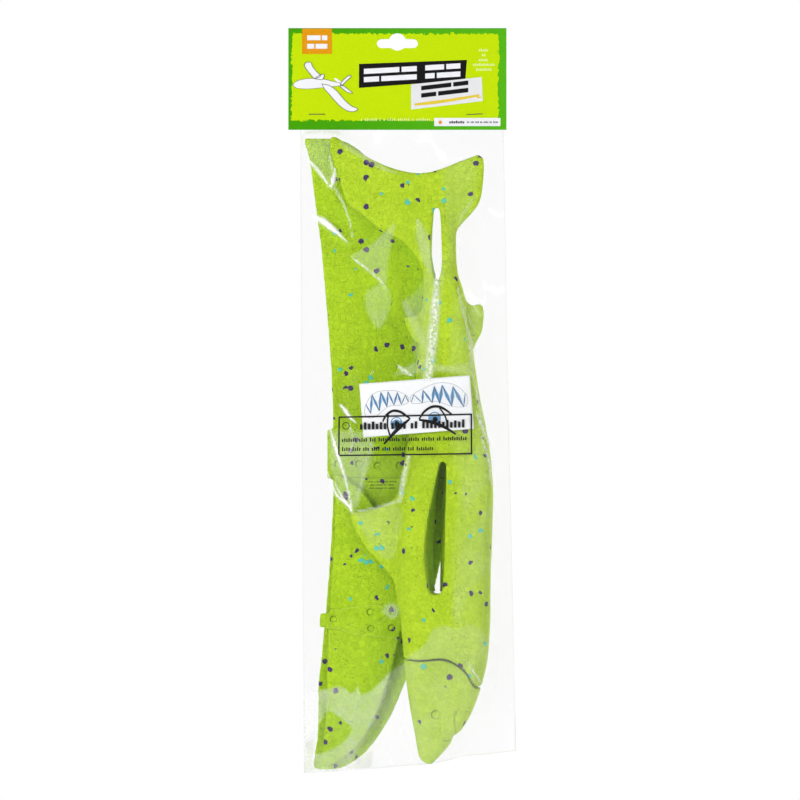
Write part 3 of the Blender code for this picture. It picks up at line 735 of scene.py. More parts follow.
def make_card(material):
    """One folded sheet with a fold round the top, the hang hole and a bowed lower half."""
    columns = np.linspace(-CARD_HALF, CARD_HALF, 65)
    crest = CARD_TOP - CARD_DEPTH
    straight = np.linspace(CARD_BOTTOM, crest, 31)
    fold = np.radians(np.linspace(0, 180, 11))[1:-1]
    outer, inner = [], []
    for z in straight:
        outer += [(x, card_y(x, z), z) for x in columns]
        inner += [(x, card_y(x, z) + CARD_THICK, z) for x in columns]
    for angle in fold:
        c, s = math.cos(angle), math.sin(angle)
        for points, reach in ((outer, CARD_DEPTH), (inner, CARD_DEPTH - CARD_THICK)):
            points += [(x, -reach * c, crest + reach * s) for x in columns]
    for z in straight[::-1]:
        outer += [(x, card_y(x, z, True), z) for x in columns]
        inner += [(x, card_y(x, z, True) - CARD_THICK, z) for x in columns]
    mesh = thick_sheet("printed_card", outer, inner, len(columns))
    card = show("printed_card", mesh, material, "pack", ["header_card"], soft=False)
    half, tall, centre = HOLE_SLOT
    slot_outline = []
    for side in (1, -1):
        start = math.radians(-90 * side)
        slot_outline += circle(side * (half - tall), centre, tall, 13, start, start + math.pi)
    round_outline = circle(0.0, -HOLE_RADIUS, HOLE_RADIUS, 41)[:-1]
    for outline in (slot_outline, round_outline):
        ring = len(outline)
        cut_points = [(x, y, z) for y in (-6.0, 6.0) for x, z in outline]
        cut_faces = [list(range(ring)), list(range(2 * ring - 1, ring - 1, -1))]
        cut_faces += [[i, i + ring, (i + 1) % ring + ring, (i + 1) % ring] for i in range(ring)]
        cutter_mesh = mesh_from("cut_hole", cut_points, cut_faces)
        worked(cutter_mesh, lambda bm: bmesh.ops.recalc_face_normals(bm, faces=bm.faces[:]))
        cutter = linked("cut_hole", cutter_mesh)
        cut = card.modifiers.new("hole", "BOOLEAN")
        cut.object = cutter
        cut.solver = "EXACT"
        made = evaluated_mesh(card)
        card.modifiers.clear()
        card.data = made
        bpy.data.objects.remove(cutter)
    card.data.polygons.foreach_set("use_smooth", [True] * len(card.data.polygons))
    card.data.set_sharp_from_angle(angle=math.radians(35))


def card_print(name, shapes, material, layer=1, back=False):
    """Flat print on the card, each layer a little further out than the one below."""
    lift = PRINT_LAYER * layer if back else -PRINT_LAYER * layer
    mesh = laid(name, shapes, lambda x, z: card_y(x, z, back) + lift, 6.0)
    return show(name, mesh, material, "pack")


def rows_of(make_row, rows, height, *rest, **more):
    """Blocks or ticks for rows given as (x0, z0, x1, letters in each word)."""
    return [bar for x0, z0, x1, words in rows for bar in make_row(x0, z0, x1, height, words, *rest, **more)]


# Outlines of the little glider drawn on the card, in mm.
ICON = {
    "far_wing": [(-68.2, -24.1), (-67.9, -22.3), (-66, -21.3), (-63.4, -21.6), (-62.2, -24.5), (-59, -28.5),
        (-56.3, -31.4), (-60.8, -33.3), (-63.8, -30.2), (-66.8, -26.6)],
    "stab": [(-46.8, -33.2), (-45, -33), (-42.1, -35.1), (-39.6, -37.6), (-42.1, -37.7), (-44.6, -35.5)],
    "hull": [(-76.6, -37.6), (-73.7, -35.2), (-67.8, -33.6), (-60.5, -33.2), (-53.1, -34), (-45.8, -35.8),
        (-41, -37), (-41, -38.4), (-47.3, -39.1), (-56.8, -40.2), (-65.6, -40.9), (-72.2, -40.6),
        (-75.5, -39.5), (-76.6, -37.9)],
    "tail_down": [(-41.4, -37.6), (-38.4, -39.5), (-35.5, -41.8), (-32.9, -44), (-36.2, -43.6),
        (-39.2, -41.7), (-42.1, -39.3)],
    "tail_up": [(-42.1, -37.3), (-39.2, -33.9), (-36.2, -31.5), (-33.8, -31.3), (-35.2, -33.2),
        (-38, -35.8), (-40.6, -38.6)],
    "fin": [(-60.8, -33.5), (-57.5, -31.3), (-54.1, -30.1), (-54, -32.4), (-55.3, -34.3)],
    "near_wing": [(-55.3, -37.3), (-49.5, -38.7), (-44.3, -42.7), (-39.2, -48.7), (-34, -53.3),
        (-29.2, -55.5), (-31.8, -57.5), (-36.2, -57.1), (-41.4, -54.1), (-45.8, -49.7), (-50.2, -44.6),
        (-53.4, -41.3)],
}


def make_card_prints():
    black = print_material("ink_black", rgb(22, 20, 22))
    white = print_material("ink_white", rgb(236, 236, 240), speck=0.02)
    pale = print_material("ink_pale", rgb(226, 226, 228), speck=0.02)
    orange = print_material("ink_orange", rgb(224, 150, 14))
    yellow = print_material("ink_yellow", rgb(228, 200, 62))
    cream = print_material("ink_cream", rgb(222, 240, 150), speck=0.02)
    grey = print_material("ink_grey", rgb(96, 100, 96))
    green = print_material("ink_green", rgb(84, 172, 20))
    card_print("print_square", [box_outline(-70.0, -15.3, -48.0, 3.4)], orange)
    rows = [(-66.2, -5.2, -51.4, [5, 2]), (-66.2, -11.4, -51.4, [3, 5])]
    card_print("print_square_bars", rows_of(word_bars, rows, 3.6, 0.0, 1.0), white, 2)
    card_print("print_banner", [[(-28.2, -40.2), (49.8, -34.4), (51.0, -19.6), (-28.2, -22.6)]], black)
    rows = [(-24.6, -30.0, 14.2, [7, 3]), (-24.6, -36.0, 14.2, [3, 7])]
    bars = rows_of(word_bars, rows, 3.8, 0.054, 1.6)
    rows = [(20.4, -27.4, 46.2, [4, 3]), (20.4, -33.4, 46.2, [2, 5])]
    card_print("print_banner_bars", bars + rows_of(word_bars, rows, 3.8, 0.06, 1.6), white, 2)
    card_print("print_plate", [[(10.0, -56.0), (62.8, -49.8), (61.8, -32.2), (10.0, -37.6)]], pale, 3)
    rows = [(17.4, -42.0, 52.0, [6, 3]), (17.4, -47.4, 52.0, [3, 6])]
    card_print("print_plate_bars", rows_of(word_bars, rows, 3.2, 0.118, 1.4), black, 4)
    under = tapered([(12.6, -52.4), (24.0, -51.2), (40.0, -49.0), (60.0, -45.6)], [1.6, 2.4, 2.2, 1.6])
    under += tapered([(58.0, -46.8), (60.0, -47.2), (61.8, -47.2)], [0.9, 1.2, 0.5])
    card_print("print_underline", under, yellow, 4)
    icon = {part: curve_through(outline) for part, outline in ICON.items()}
    for order, shape in enumerate(icon.values()):
        card_print(f"print_icon_{order}", [shape], white, 1 + order)
    lined = ("far_wing", "tail_up", "tail_down", "near_wing", "fin")
    lines = [quad for part in lined for quad in stroke(icon[part], 0.4, True)]
    card_print("print_icon_lines", lines, grey, 8)
    card_print("print_icon_hull_lines", stroke(icon["hull"], 0.3, True), grey, 4)
    rows = [(59.8, -13.4, 66.8, [5]), (62.0, -17.0, 65.0, [2]), (59.8, -20.6, 66.6, [5]),
            (55.6, -24.0, 71.6, [11]), (57.8, -27.6, 69.6, [8])]
    card_print("print_age", rows_of(tick_bars, rows, 2.0, gap=0.7, ink=0.7), cream)
    sizes = tick_bars(-26.6, -64.4, 24.6, 2.2, [1, 6, 1, 1, 4, 6, 1, 7], gap=1.4, ink=0.5)
    card_print("print_sizes", sizes, cream)
    card_print("print_label", [box_outline(27.0, -68.2, 75.6, -62.2)], white, 2)
    small = tick_bars(38.0, -66.2, 49.4, 2.0, [7], ink=0.72)
    small += tick_bars(51.2, -66.0, 74.0, 1.5, [2, 3, 3, 2, 4, 2, 4], gap=0.8, ink=0.62)
    card_print("print_label_bars", small, black, 3)
    card_print("print_label_dot", [circle(31.4, -65.4, 1.3, 20)[:-1]], orange, 3)
    card_print("print_back_panel", [box_outline(-60.0, -56.0, 60.0, -18.0)], pale, 1, back=True)
    words = ([5, 3, 6, 4, 7, 3], [4, 6, 3, 5, 5, 4], [6, 3, 4, 7, 3, 5], [3, 5, 6, 3, 4, 4])
    rows = [(-54.0, -27.0 - 5.4 * index, 20.0, line) for index, line in enumerate(words)]
    card_print("print_back_lines", rows_of(tick_bars, rows, 2.2, gap=1.6, ink=0.6), black, 2, back=True)
    widths = (0.5, 0.9, 0.4, 1.1) * 4
    code = [box_outline(30.0 + 1.5 * i, -48.0, 30.0 + 1.5 * i + wide, -26.0) for i, wide in enumerate(widths)]
    card_print("print_back_stripes", code, black, 2, back=True)
    card_print("print_back_bar", [box_outline(-60.0, -16.0, -20.0, -12.0)], green, 1, back=True)


def make_staples(material):
    """Bent wire through the card, its legs folded over at the back."""
    wire, reach, height = 0.3, 5.9, -59.5
    for side, centre, tilt in (("left", -59.0, 0.0), ("right", 56.6, 0.35)):
        front = card_y(centre, height) - 0.34
        back = card_y(centre, height, True) + 0.34
        half = [(reach - 4.4, back + 0.2, 0.3), (reach - 0.5, back + 0.05, 0.1), (reach, back - 0.5, 0.0),
                (reach, front + 0.5, 0.0), (reach - 0.5, front, 0.0), (2.0, front + 0.12, tilt * 0.4)]
        route = half + [(-x, y, -z) for x, y, z in reversed(half)]
        curve = bpy.data.curves.new("staple", "CURVE")
        curve.dimensions = "3D"
        curve.bevel_depth = wire * MM
        curve.bevel_resolution = 3
        curve.use_fill_caps = True
        spline = curve.splines.new("POLY")
        spline.points.add(len(route) - 1)
        for point, (x, y, z) in zip(spline.points, route):
            point.co = ((centre + x) * MM, y * MM, (height + z + x * tilt * 0.1) * MM, 1.0)
        temp = linked("staple", curve)
        mesh = evaluated_mesh(temp)
        bpy.data.objects.remove(temp)
        show("wire_staple_" + side, mesh, material, "pack", ["staple_" + side])


# --- sticker sheet ---
SHEET_CENTRE = (14.0, -273.7)
SHEET_TURN = math.radians(4.5)
SHEET_HALF = (40.5, 19.6)
SHEET_THICK = 0.16
STICKER_LAYER = 0.06

# What is printed on the stickers, from the sheet's centre, in mm: the mouths' outlines, the teeth as a
# zigzag with a width at each corner, and the eyes.
MOUTHS = {
    "left": [(-37.6, -4.2), (-38, 0.6), (-34.4, 8), (-29, 12.4), (-22, 13.2), (-14, 12.4), (-7.6, 9.2),
        (-5.4, 6), (-7, 2.6), (-13, 1.6), (-19.4, 1.8), (-25, -1.4), (-30, -5), (-34.6, -5.8), (-37.4, -4.4)],
    "right": [(-3.8, 3.6), (-4.2, 6.6), (0, 10), (7, 13), (15, 15.6), (24, 15.2), (31, 12), (36.6, 6),
        (37.6, 1), (35.4, -2.6), (31, -3), (24, -1.4), (17, 1.8), (10, 2.8), (3, 2), (-2.6, 2.2),
        (-3.6, 3.4)],
}
TEETH = {
    "left": [(-37, 4.6), (-33.8, -2.6), (-31.8, 11), (-27.4, -1.4), (-25.2, 12.4), (-21.6, 1.2),
        (-20, 12.4), (-16.4, 2.2), (-13.2, 11.2), (-11, 2.2), (-7.6, 8.8), (-5.6, 3.4)],
    "right": [(-3.6, 3.2), (-1.4, 8.6), (4.4, 2), (5.6, 11.4), (11.6, 1.6), (14, 13.6), (17, 0.6),
        (19.8, 14), (25.6, -2), (27.6, 12.4), (34.2, -3.2), (36, 6.4)],
}
TOOTH_WIDTHS = {
    "left": [0.6, 1, 2, 1.1, 2.2, 1.2, 1.5, 0.9, 1.6, 0.8, 0.8, 0.5],
    "right": [0.5, 0.7, 0.8, 1.8, 1, 2.4, 1, 2.8, 1.1, 2.9, 1.1, 0.9],
}
EYES = {
    "left": {
        "white": [(-23, -8.6), (-21, -4.4), (-16.4, -2.2), (-10.6, -4.6), (-6.4, -8.8), (-12, -13.4),
            (-18.4, -17.6), (-21.6, -20.6)],
        "lid": [(-25.6, -9.2), (-22.4, -4.6), (-17.6, -2), (-12.4, -3), (-8.2, -6.2), (-5.4, -8.8)],
        "lower": [(-6, -9), (-11, -12.6), (-16, -16.4), (-20.6, -20.6), (-26, -25.6)],
        "side": [(-21, -4.6), (-22, -9), (-22.2, -14), (-21, -20)],
        "iris": (-15.6, -11, 4.4),
    },
    "right": {
        "white": [(1.4, -9.8), (6, -4), (12, -1.6), (17.4, -3.6), (20.6, -8.4), (21.6, -15.8), (15, -13.8),
            (8, -11.6)],
        "lid": [(1, -9.6), (5, -4.6), (10.6, -1.4), (16.4, -1.6), (21.4, -4.6), (25.6, -8.4)],
        "lower": [(1, -10), (7, -11.4), (13.6, -13.8), (20, -17.4), (27, -22.6)],
        "side": [(16.6, -2.6), (19.6, -7.4), (21, -12.4), (21.4, -17.4)],
        "iris": (12.4, -9.6, 4.6),
    },
}


def sheet_y(x, z):
    """Y of the paper's front: flat on the body, its ends curling back."""
    u, v = turned((x - SHEET_CENTRE[0], z - SHEET_CENTRE[1]), (0.0, 0.0), -SHEET_TURN)
    left, right = max(0.0, -10.0 - u), max(0.0, u - 30.0)
    return -28.4 + 0.0042 * left**2 + 0.010 * right**2 + 0.25 * math.sin(v / 9.0 + u / 24.0)


def on_sheet(name, shapes, material, layer, replaces=()):
    placed = [[turned(point, SHEET_CENTRE, SHEET_TURN) for point in shape] for shape in shapes]
    mesh = laid(name, placed, lambda x, z: sheet_y(x, z) - STICKER_LAYER * layer, 4.0)
    return show(name, mesh, material, "sticker_sheet", replaces)


def make_paper():
    paper = print_material("release_paper", rgb(248, 249, 250), 0.5, 0.02)
    half_w, half_h = SHEET_HALF
    columns, rows = np.linspace(-half_w, half_w, 55), np.linspace(-half_h, half_h, 28)
    flat = [turned((u, v), SHEET_CENTRE, SHEET_TURN) for v in rows for u in columns]
    front = [(x, sheet_y(x, z), z) for x, z in flat]
    back = [(x, y + SHEET_THICK, z) for x, y, z in front]
    mesh = thick_sheet("paper_sheet", front, back, len(columns))
    return show("paper_sheet", mesh, paper, "sticker_sheet", ["sticker_backing"])


def make_stickers():
    """Eyes and rows of teeth, printed in flat layers."""
    ink = print_material("sticker_black", rgb(24, 23, 26), 0.3)
    white = print_material("sticker_white", rgb(244, 246, 248), 0.3, 0.01)
    blue = print_material("sticker_blue", rgb(116, 162, 204), 0.3, 0.06)
    slate = print_material("sticker_slate", rgb(70, 98, 132), 0.3, 0.06)
    grey = print_material("sticker_grey", rgb(178, 182, 188), 0.4)
    for side, outline in MOUTHS.items():
        shape = curve_through(outline)[:-1]
        on_sheet(f"mouth_{side}_vinyl", [shape], white, 1, ["mouth_sticker_" + side])
        on_sheet(f"mouth_{side}_rim", stroke(shape, 0.32, True), grey, 2)
    for side, teeth in TEETH.items():
        widths = TOOTH_WIDTHS[side]
        zig, line = [], []
        for a, b, wa, wb in zip(teeth, teeth[1:], widths, widths[1:]):
            middle = ((a[0] + b[0]) / 2, (a[1] + b[1]) / 2)
            zig += tapered([a, middle, b], [0.3, max(wa, wb), 0.3])
            line += stroke([a, b], 0.34)
        on_sheet(f"mouth_{side}_teeth", zig, blue, 3)
        on_sheet(f"mouth_{side}_edges", line, slate, 4)
    for side, eye in EYES.items():
        outline = curve_through(eye["white"] + eye["white"][:1])[:-1]
        on_sheet(f"eye_{side}_vinyl", [outline], white, 1, ["eye_sticker_" + side])
        cx, cz, radius = eye["iris"]
        lid, lower, corner = (curve_through(eye[line]) for line in ("lid", "lower", "side"))
        discs = circle(cx, cz, radius, 48)[:-1], circle(cx + 0.4, cz - 1.0, 1.9, 24)[:-1]
        iris, pupil = ([(x, max(z, float(run(lower, x)))) for x, z in disc] for disc in discs)
        on_sheet(f"eye_{side}_iris", [iris], blue, 2)
        glint = stroke(circle(cx, cz, radius * 0.72, 12, 0.5, 2.6), 0.9)
        on_sheet(f"eye_{side}_glint", glint, white, 3)
        on_sheet(f"eye_{side}_pupil", [pupil], ink, 4)
        lines = tapered(lid, 1.0 + 0.9 * np.sin(np.linspace(0, math.pi, len(lid))))
        lines += tapered(lower, 0.9 + 1.6 * np.sin(np.linspace(0.2, math.pi - 0.1, len(lower))))
        lines += tapered(corner, [1.1] * len(corner))
        on_sheet(f"eye_{side}_lines", lines, ink, 5)


# --- bag ---
# Grid and relaxation of the film. Above NECK, in mm, the card pinches it, and FILM_LIMITS are its furthest
# depths to the front and the back.
FILM_COLUMNS = 124
FILM_ROWS = 384
TIGHTENING_STEPS = 7000
NECK = -71.5
NECK_DEPTH = 0.35
FILM_LIMITS = (-30.6, 27.8)
FAR = 60.0
RAY_START = 80.0
INK_GAP = 0.12
STRAIGHT = 0.8

# Tented creases of the film: (x, z) line in mm, height, half width.
FRONT_CREASES = [
    ([(-65.6, -93), (-57.5, -101.1), (-50.2, -112.1)], 1.8, 3.4),
    ([(-59.7, -135.6), (-49.5, -142.2), (-37, -153.2)], 2, 4.4),
    ([(-50.2, -76.9), (-49.5, -89.4), (-46.5, -101.8), (-48.7, -112.8)], 1.2, 2.6),
    ([(-45.8, -113.6), (-39.2, -126), (-34.8, -138.5), (-32.6, -151.7)], 1.2, 2.6),
    ([(-34.8, -163.5), (-18.6, -154.7), (-1, -138.5)], 0.9, 4),
    ([(-1, -138.5), (-6.9, -167.9), (-8.4, -184.7)], 0.8, 4),
    ([(-33.3, -164.9), (-23, -172.3), (-12.8, -181.1), (-6.9, -189.1)], 1.3, 2.8),
    ([(-49.5, -289.7), (-45.8, -302.1), (-38.4, -326.3), (-33.3, -347.6)], 1.6, 3.4),
    ([(-51.7, -321.9), (-45, -338.1), (-33.3, -349.8)], 1.5, 3.4),
    ([(-18.6, -298.5), (-25.2, -324.9), (-30.4, -344.7)], 1.2, 3.4),
    ([(51.1, -459.9), (56.2, -468), (61.3, -476)], 1.2, 2.6),
    ([(-1.8, -514.9), (1.9, -524.4), (5.6, -533.3)], 1.2, 3),
    ([(59.1, -269.1), (62.1, -287.5), (67.9, -302.1)], 1, 3),
    ([(66, -90), (58, -150)], 1.2, 5),
    ([(60, -380), (76, -420), (66, -455)], 1, 5),
]
BACK_CREASES = [
    ([(-60, -95), (-30, -150)], 1.6, 4),
    ([(60, -95), (30, -170)], 1.4, 4),
    ([(-64, -250), (-30, -300)], 1.2, 4),
    ([(66, -280), (44, -350)], 1.4, 4),
    ([(70, -420), (50, -480)], 1.2, 4),
    ([(20, -500), (10, -532)], 1, 4),
]

# Painted sheen, white that stands for reflection where the film stands off the foam: outline in mm, share of
# white, edge softness.
# An outline whose softness is STRAIGHT keeps its corners, and the others are rounded.
PAINTED_SHEEN = [
    ([(40.1, -189.9), (50.3, -186.9), (60.6, -195.8), (66.5, -291.1), (70.9, -371.8), (67.9, -445.2),
     (43, -445.2), (38.6, -386.5), (43, -342.5), (40.1, -305.8), (37.1, -254.4)], 0.05, 6),
    ([(50.3, -307.3), (67.9, -298.5), (70.9, -320.5), (60.6, -336.6), (48.9, -351.3),
     (45.9, -327.8)], 0.085, 2),
    ([(47.4, -368.9), (70.9, -342.5), (70.9, -386.5), (56.2, -405.6), (43, -432), (40.1, -412.9)], 0.085, 2),
    ([(3.4, -459.9), (9.2, -454.7), (15.8, -451.1), (21.7, -445.2), (24.7, -437.9), (29.1, -434.9),
     (36.4, -433.5), (44.5, -436.4), (53.3, -432), (60.6, -436.4), (69.4, -445.2), (73.8, -454),
     (69.4, -489.2), (53.3, -518.6), (31.3, -540.6), (16.6, -540.6), (1.9, -503.9)], 0.105, 0.9),
    ([(-62, -483.4), (-50, -481), (-45, -479), (-38, -480.6), (-34.3, -484.3), (-30, -481), (-28.9, -478),
     (-26.7, -484.5), (-20, -482.6), (-15, -478.1), (-6.2, -468.6), (2, -463), (7.8, -461.3),
     (10.7, -474.6), (-1.8, -518.6), (-27.4, -544.3), (-71.5, -544.3), (-71.5, -489.2)], 0.235, 0.9),
    ([(-34.8, -163.5), (-18.6, -154.7), (-1, -138.5), (-6.9, -167.9), (-8.4, -184.7),
     (-21.6, -173.7)], 0.13, 0.8),
    ([(-49.5, -291.1), (-17.2, -295.5), (-23, -326.3), (-30.4, -348.4), (-38.4, -342.5),
     (-49.5, -320.5)], 0.14, 2.5),
    ([(-33.3, -351.3), (1.9, -346.2), (0.4, -375.5), (-6.9, -386.5), (-20.1, -375.5)], 0.07, 2.5),
    ([(-67.1, -78.4), (-53.1, -77.6), (-49.5, -93), (-46.5, -111.4), (-55.3, -104),
     (-65.6, -91.6)], 0.1, 1.5),
    ([(-42.1, -82.8), (-12.8, -100.4), (1.9, -103.3), (-12.8, -96), (-38.4, -78.4)], 0.12, 1.2),
    ([(-23, -189.9), (-11.3, -183.3), (-4, -195.8), (-12.8, -217.8), (-23, -203.1)], 0.12, 2),
    ([(4.8, -195.8), (16.6, -185.5), (25.4, -159.1), (35.7, -167.9), (31.3, -203.1), (28.3, -247.1),
     (15.1, -251.5), (9.2, -217.8)], 0.085, 3),
    ([(31.3, -85.7), (59.1, -93), (53.3, -137.1), (43, -159.1), (40.1, -195.8), (35.7, -159.1)], 0.05, 5),
    ([(-4, -251.5), (16.6, -239.8), (35.7, -244.2), (53.3, -241.2), (56.2, -251.5), (31.3, -248.6)], 0.16, 2),
    ([(52.5, -201.6), (60.6, -198), (63.5, -209), (60.6, -222.2), (54.7, -232.4), (51.8, -217.8)], 0.1, 2.5),
    ([(-8.4, -418.8), (-2.5, -417.3), (1.2, -421.7), (-0.3, -427.6), (-5.4, -429.1),
     (-11.3, -423.9)], 0.16, 1.2),
]
# Where the film lies tight inside an area of painted sheen: outline in mm, share of that painted sheen that
# goes.
CLEARER = [
    ([(-53.9, -500.7), (-49.5, -497.3), (-36.5, -506.1), (-33.3, -512.6), (-43, -523.3), (-58.3, -529.6),
     (-65.6, -527.4), (-65.6, -518.6)], 0.9),
    ([(-0.3, -445.2), (-8.4, -481.9), (-18.6, -507.6), (-34.8, -536.2), (-26, -543.5), (1.9, -518.6),
     (10.7, -481.9), (7.8, -452.5)], 0.55),
]

# Bright glare along sharp folds: (x, z, half width) in mm, and its strength.
GLARE = [
    ([(-66, -92.4, 0.3), (-61.8, -96.6, 1.5), (-57.5, -101.4, 1.7), (-53.6, -107, 1.2),
     (-50.4, -112.4, 0.3)], 0.8),
    ([(-60.2, -134.6, 1.6), (-55, -137.6, 2.6), (-49.5, -142, 2.3), (-43, -147.2, 1.4),
     (-37, -153.2, 0.3)], 0.95),
    ([(-45.6, -99.8, 0.6), (-46.4, -104.4, 1.7), (-47.4, -109, 2.1), (-48.7, -112.8, 1.3)], 0.85),
    ([(-50.4, -78, 0.5), (-50, -89.4, 0.6), (-47, -101.8, 0.9)], 0.5),
    ([(-45.8, -113.6, 0.9), (-39.2, -126, 0.7), (-34.8, -138.5, 0.6), (-32.6, -151.7, 0.3)], 0.42),
    ([(-33.3, -164.9, 0.5), (-23, -172.3, 1.1), (-12.8, -181.1, 1), (-6.9, -189.1, 0.4)], 0.6),
    ([(-49.5, -289.7, 0.9), (-45.8, -302.1, 1.8), (-38.4, -326.3, 1.4), (-33.3, -347.6, 0.6)], 0.8),
    ([(-51.7, -321.9, 0.5), (-45, -338.1, 1.2), (-33.3, -349.8, 0.7)], 0.76),
    ([(-18.6, -298.5, 0.5), (-25.2, -324.9, 0.8), (-30.4, -344.7, 0.4)], 0.3),
    ([(29.1, -176, 1.4), (27.6, -200, 3.4), (25.4, -226, 3.9), (22.2, -252.5, 3.2)], 0.6),
    ([(15, -138, 1.6), (18, -150, 4.6), (21, -162, 4.6), (24, -176, 2.2)], 0.17),
    ([(5, -198, 1.6), (10, -208, 4), (17, -222, 3.6), (22, -236, 2)], 0.17),
    ([(57, -120, 0.6), (47, -134, 1), (44, -152, 1), (46.6, -172, 0.6)], 0.18),
    ([(8.5, -309.5, 0.9), (4.1, -327.8, 2), (1.9, -342.5, 1.2)], 0.56),
    ([(-34, -351.3, 0.4), (-16.4, -348.4, 0.9), (1.9, -342.5, 1.2)], 0.28),
    ([(51.1, -459.9, 0.3), (56.2, -468, 0.7), (61.3, -476, 0.5)], 0.55),
    ([(59.1, -269.1, 0.3), (62.1, -287.5, 0.7), (67.9, -302.1, 0.4)], 0.5),
    ([(-41.4, -272.8, 1), (-38.4, -276.5, 1.7), (-34.8, -281.6, 1.4), (-31.1, -285.3, 0.5)], 0.78),
    ([(-35.5, -286.7, 0.5), (-31.8, -298.5, 1.1), (-35.5, -310.2, 0.6)], 0.42),
    ([(0.4, -244.2, 0.8), (4.8, -247.8, 2), (10, -250.8, 1)], 0.52),
    ([(51.8, -219.2, 1.5), (54.7, -232.4, 3), (54, -248.6, 2)], 0.26),
    ([(57.7, -277.9, 0.6), (61.3, -287.5, 1.9), (67.2, -301.4, 0.7)], 0.5),
    ([(54.7, -249.3, 0.6), (59.1, -269.1, 1.2), (62.8, -288.9, 0.7)], 0.5),
    ([(61.3, -295.5, 0.6), (67.2, -314.6, 1.1), (69, -332.2, 0.6)], 0.55),
    ([(43.7, -185.5, 0.5), (47.4, -201.6, 1), (51.1, -217.8, 0.6)], 0.4),
    ([(-45.8, -330, 0.4), (-41.4, -338.8, 1), (-34.8, -347.6, 1.3), (-33.3, -351.3, 0.6)], 0.8),
]


def inside(outline, x, z):
    """True where a point lies within a closed outline."""
    found = np.zeros(x.shape, bool)
    for (x0, z0), (x1, z1) in zip(outline, outline[1:] + outline[:1]):
        if z0 == z1:
            continue
        crosses = (z0 > z) != (z1 > z)
        found ^= crosses & (x < (x1 - x0) * (z - z0) / (z1 - z0) + x0)
    return found


def soft_mask(outline, x, z, edge):
    """1 inside an outline, fading to 0 over its edge."""
    if edge != STRAIGHT:
        outline = curve_through(outline + outline[:1], 3)[:-1]
    away = along(outline + outline[:1], x, z)
    return smooth(-edge / 2, edge, np.where(inside(outline, x, z), away, -away))


def painted_sheen_over(x, z):
    """Share of painted white sheen on the front film, standing for reflection and glare."""
    painted_sheen = np.zeros(x.shape)
    for outline, share, edge in PAINTED_SHEEN:
        painted_sheen = np.maximum(painted_sheen, share * soft_mask(outline, x, z, edge))
    # A faint painted sheen towards the bottom of the bag.
    painted_sheen = np.maximum(painted_sheen, 0.03 * smooth(-505.0, -530.0, z))
    for outline, share in CLEARER:
        painted_sheen *= 1 - share * soft_mask(outline, x, z, 0.9)
    for line, strength in GLARE:
        for start, end in zip(line, line[1:]):
            away, t = from_segment(start, end, x, z)
            away = away / (start[2] + (end[2] - start[2]) * t)
            painted_sheen = np.maximum(painted_sheen, strength * (1 - smooth(0.35, 1.35, away)))
    return painted_sheen


def bag_grid():
    """Places of the film's grid in the XZ plane, in mm, top row first."""
    u = np.linspace(0.0, 1.0, FILM_COLUMNS)[None, :]
    v = np.linspace(0.0, 1.0, FILM_ROWS)[:, None]
    z_guess = MOUTH + (-540.0 - MOUTH) * v
    left, right = run(BAG_LEFT, z_guess), run(BAG_RIGHT, z_guess)
    x = left + (right - left) * u
    return x, MOUTH + (run(BAG_FLOOR, x) - MOUTH) * v


def over_grid(x, z, value):
    return np.array([[value(*place) for place in zip(*line)] for line in zip(x, z)])


def heights_over(tree, x, z, side, shifts):
    """How far the contents reach to one side (-1 front, 1 back), with their travel, in mm."""
    def reach(px, pz):
        best = -FAR
        for shift in shifts:
            start = Vector((px, side * RAY_START, pz - shift)) * MM
            hit = tree.ray_cast(start, Vector((0.0, -side, 0.0)), 0.15)[0]
            if hit is not None:
                best = max(best, side * hit.y / MM)
        return best

    return over_grid(x, z, reach)


def spread(field):
    """Largest value among the neighbours, so a thin edge isn't missed between grid points."""
    grown = field.copy()
    grown[1:, :] = np.maximum(grown[1:, :], field[:-1, :])
    grown[:-1, :] = np.maximum(grown[:-1, :], field[1:, :])
    grown[:, 1:] = np.maximum(grown[:, 1:], field[:, :-1])
    grown[:, :-1] = np.maximum(grown[:, :-1], field[:, 1:])
    return grown


def stretched(floor, start, pinned):
    """Film pulled tight over what it covers: each point sits at its neighbours' mean, or on the contents."""
    film = np.maximum(start, floor)
    for _ in range(TIGHTENING_STEPS):
        mean = film.copy()
        above_below = film[:-2, 1:-1] + film[2:, 1:-1]
        beside = film[1:-1, :-2] + film[1:-1, 2:]
        mean[1:-1, 1:-1] = 0.29 * above_below + 0.21 * beside
        film = np.where(pinned, start, np.maximum(mean, floor))
    return film


def crumple(x, z, seed):
    """Fine ridges, in mm, longer up and down than across."""
    def height(px, pz):
        spot = Vector((px / 19.0 + 0.25 * pz / 19.0, pz / 34.0, seed))
        fine = Vector((px / 7.5, pz / 12.0, seed + 7.0))
        broad, small = (max(0.0, 1 - abs(noise.noise(where)) * 2) ** 3 for where in (spot, fine))
        return 0.16 * broad + 0.05 * small

    return over_grid(x, z, height)


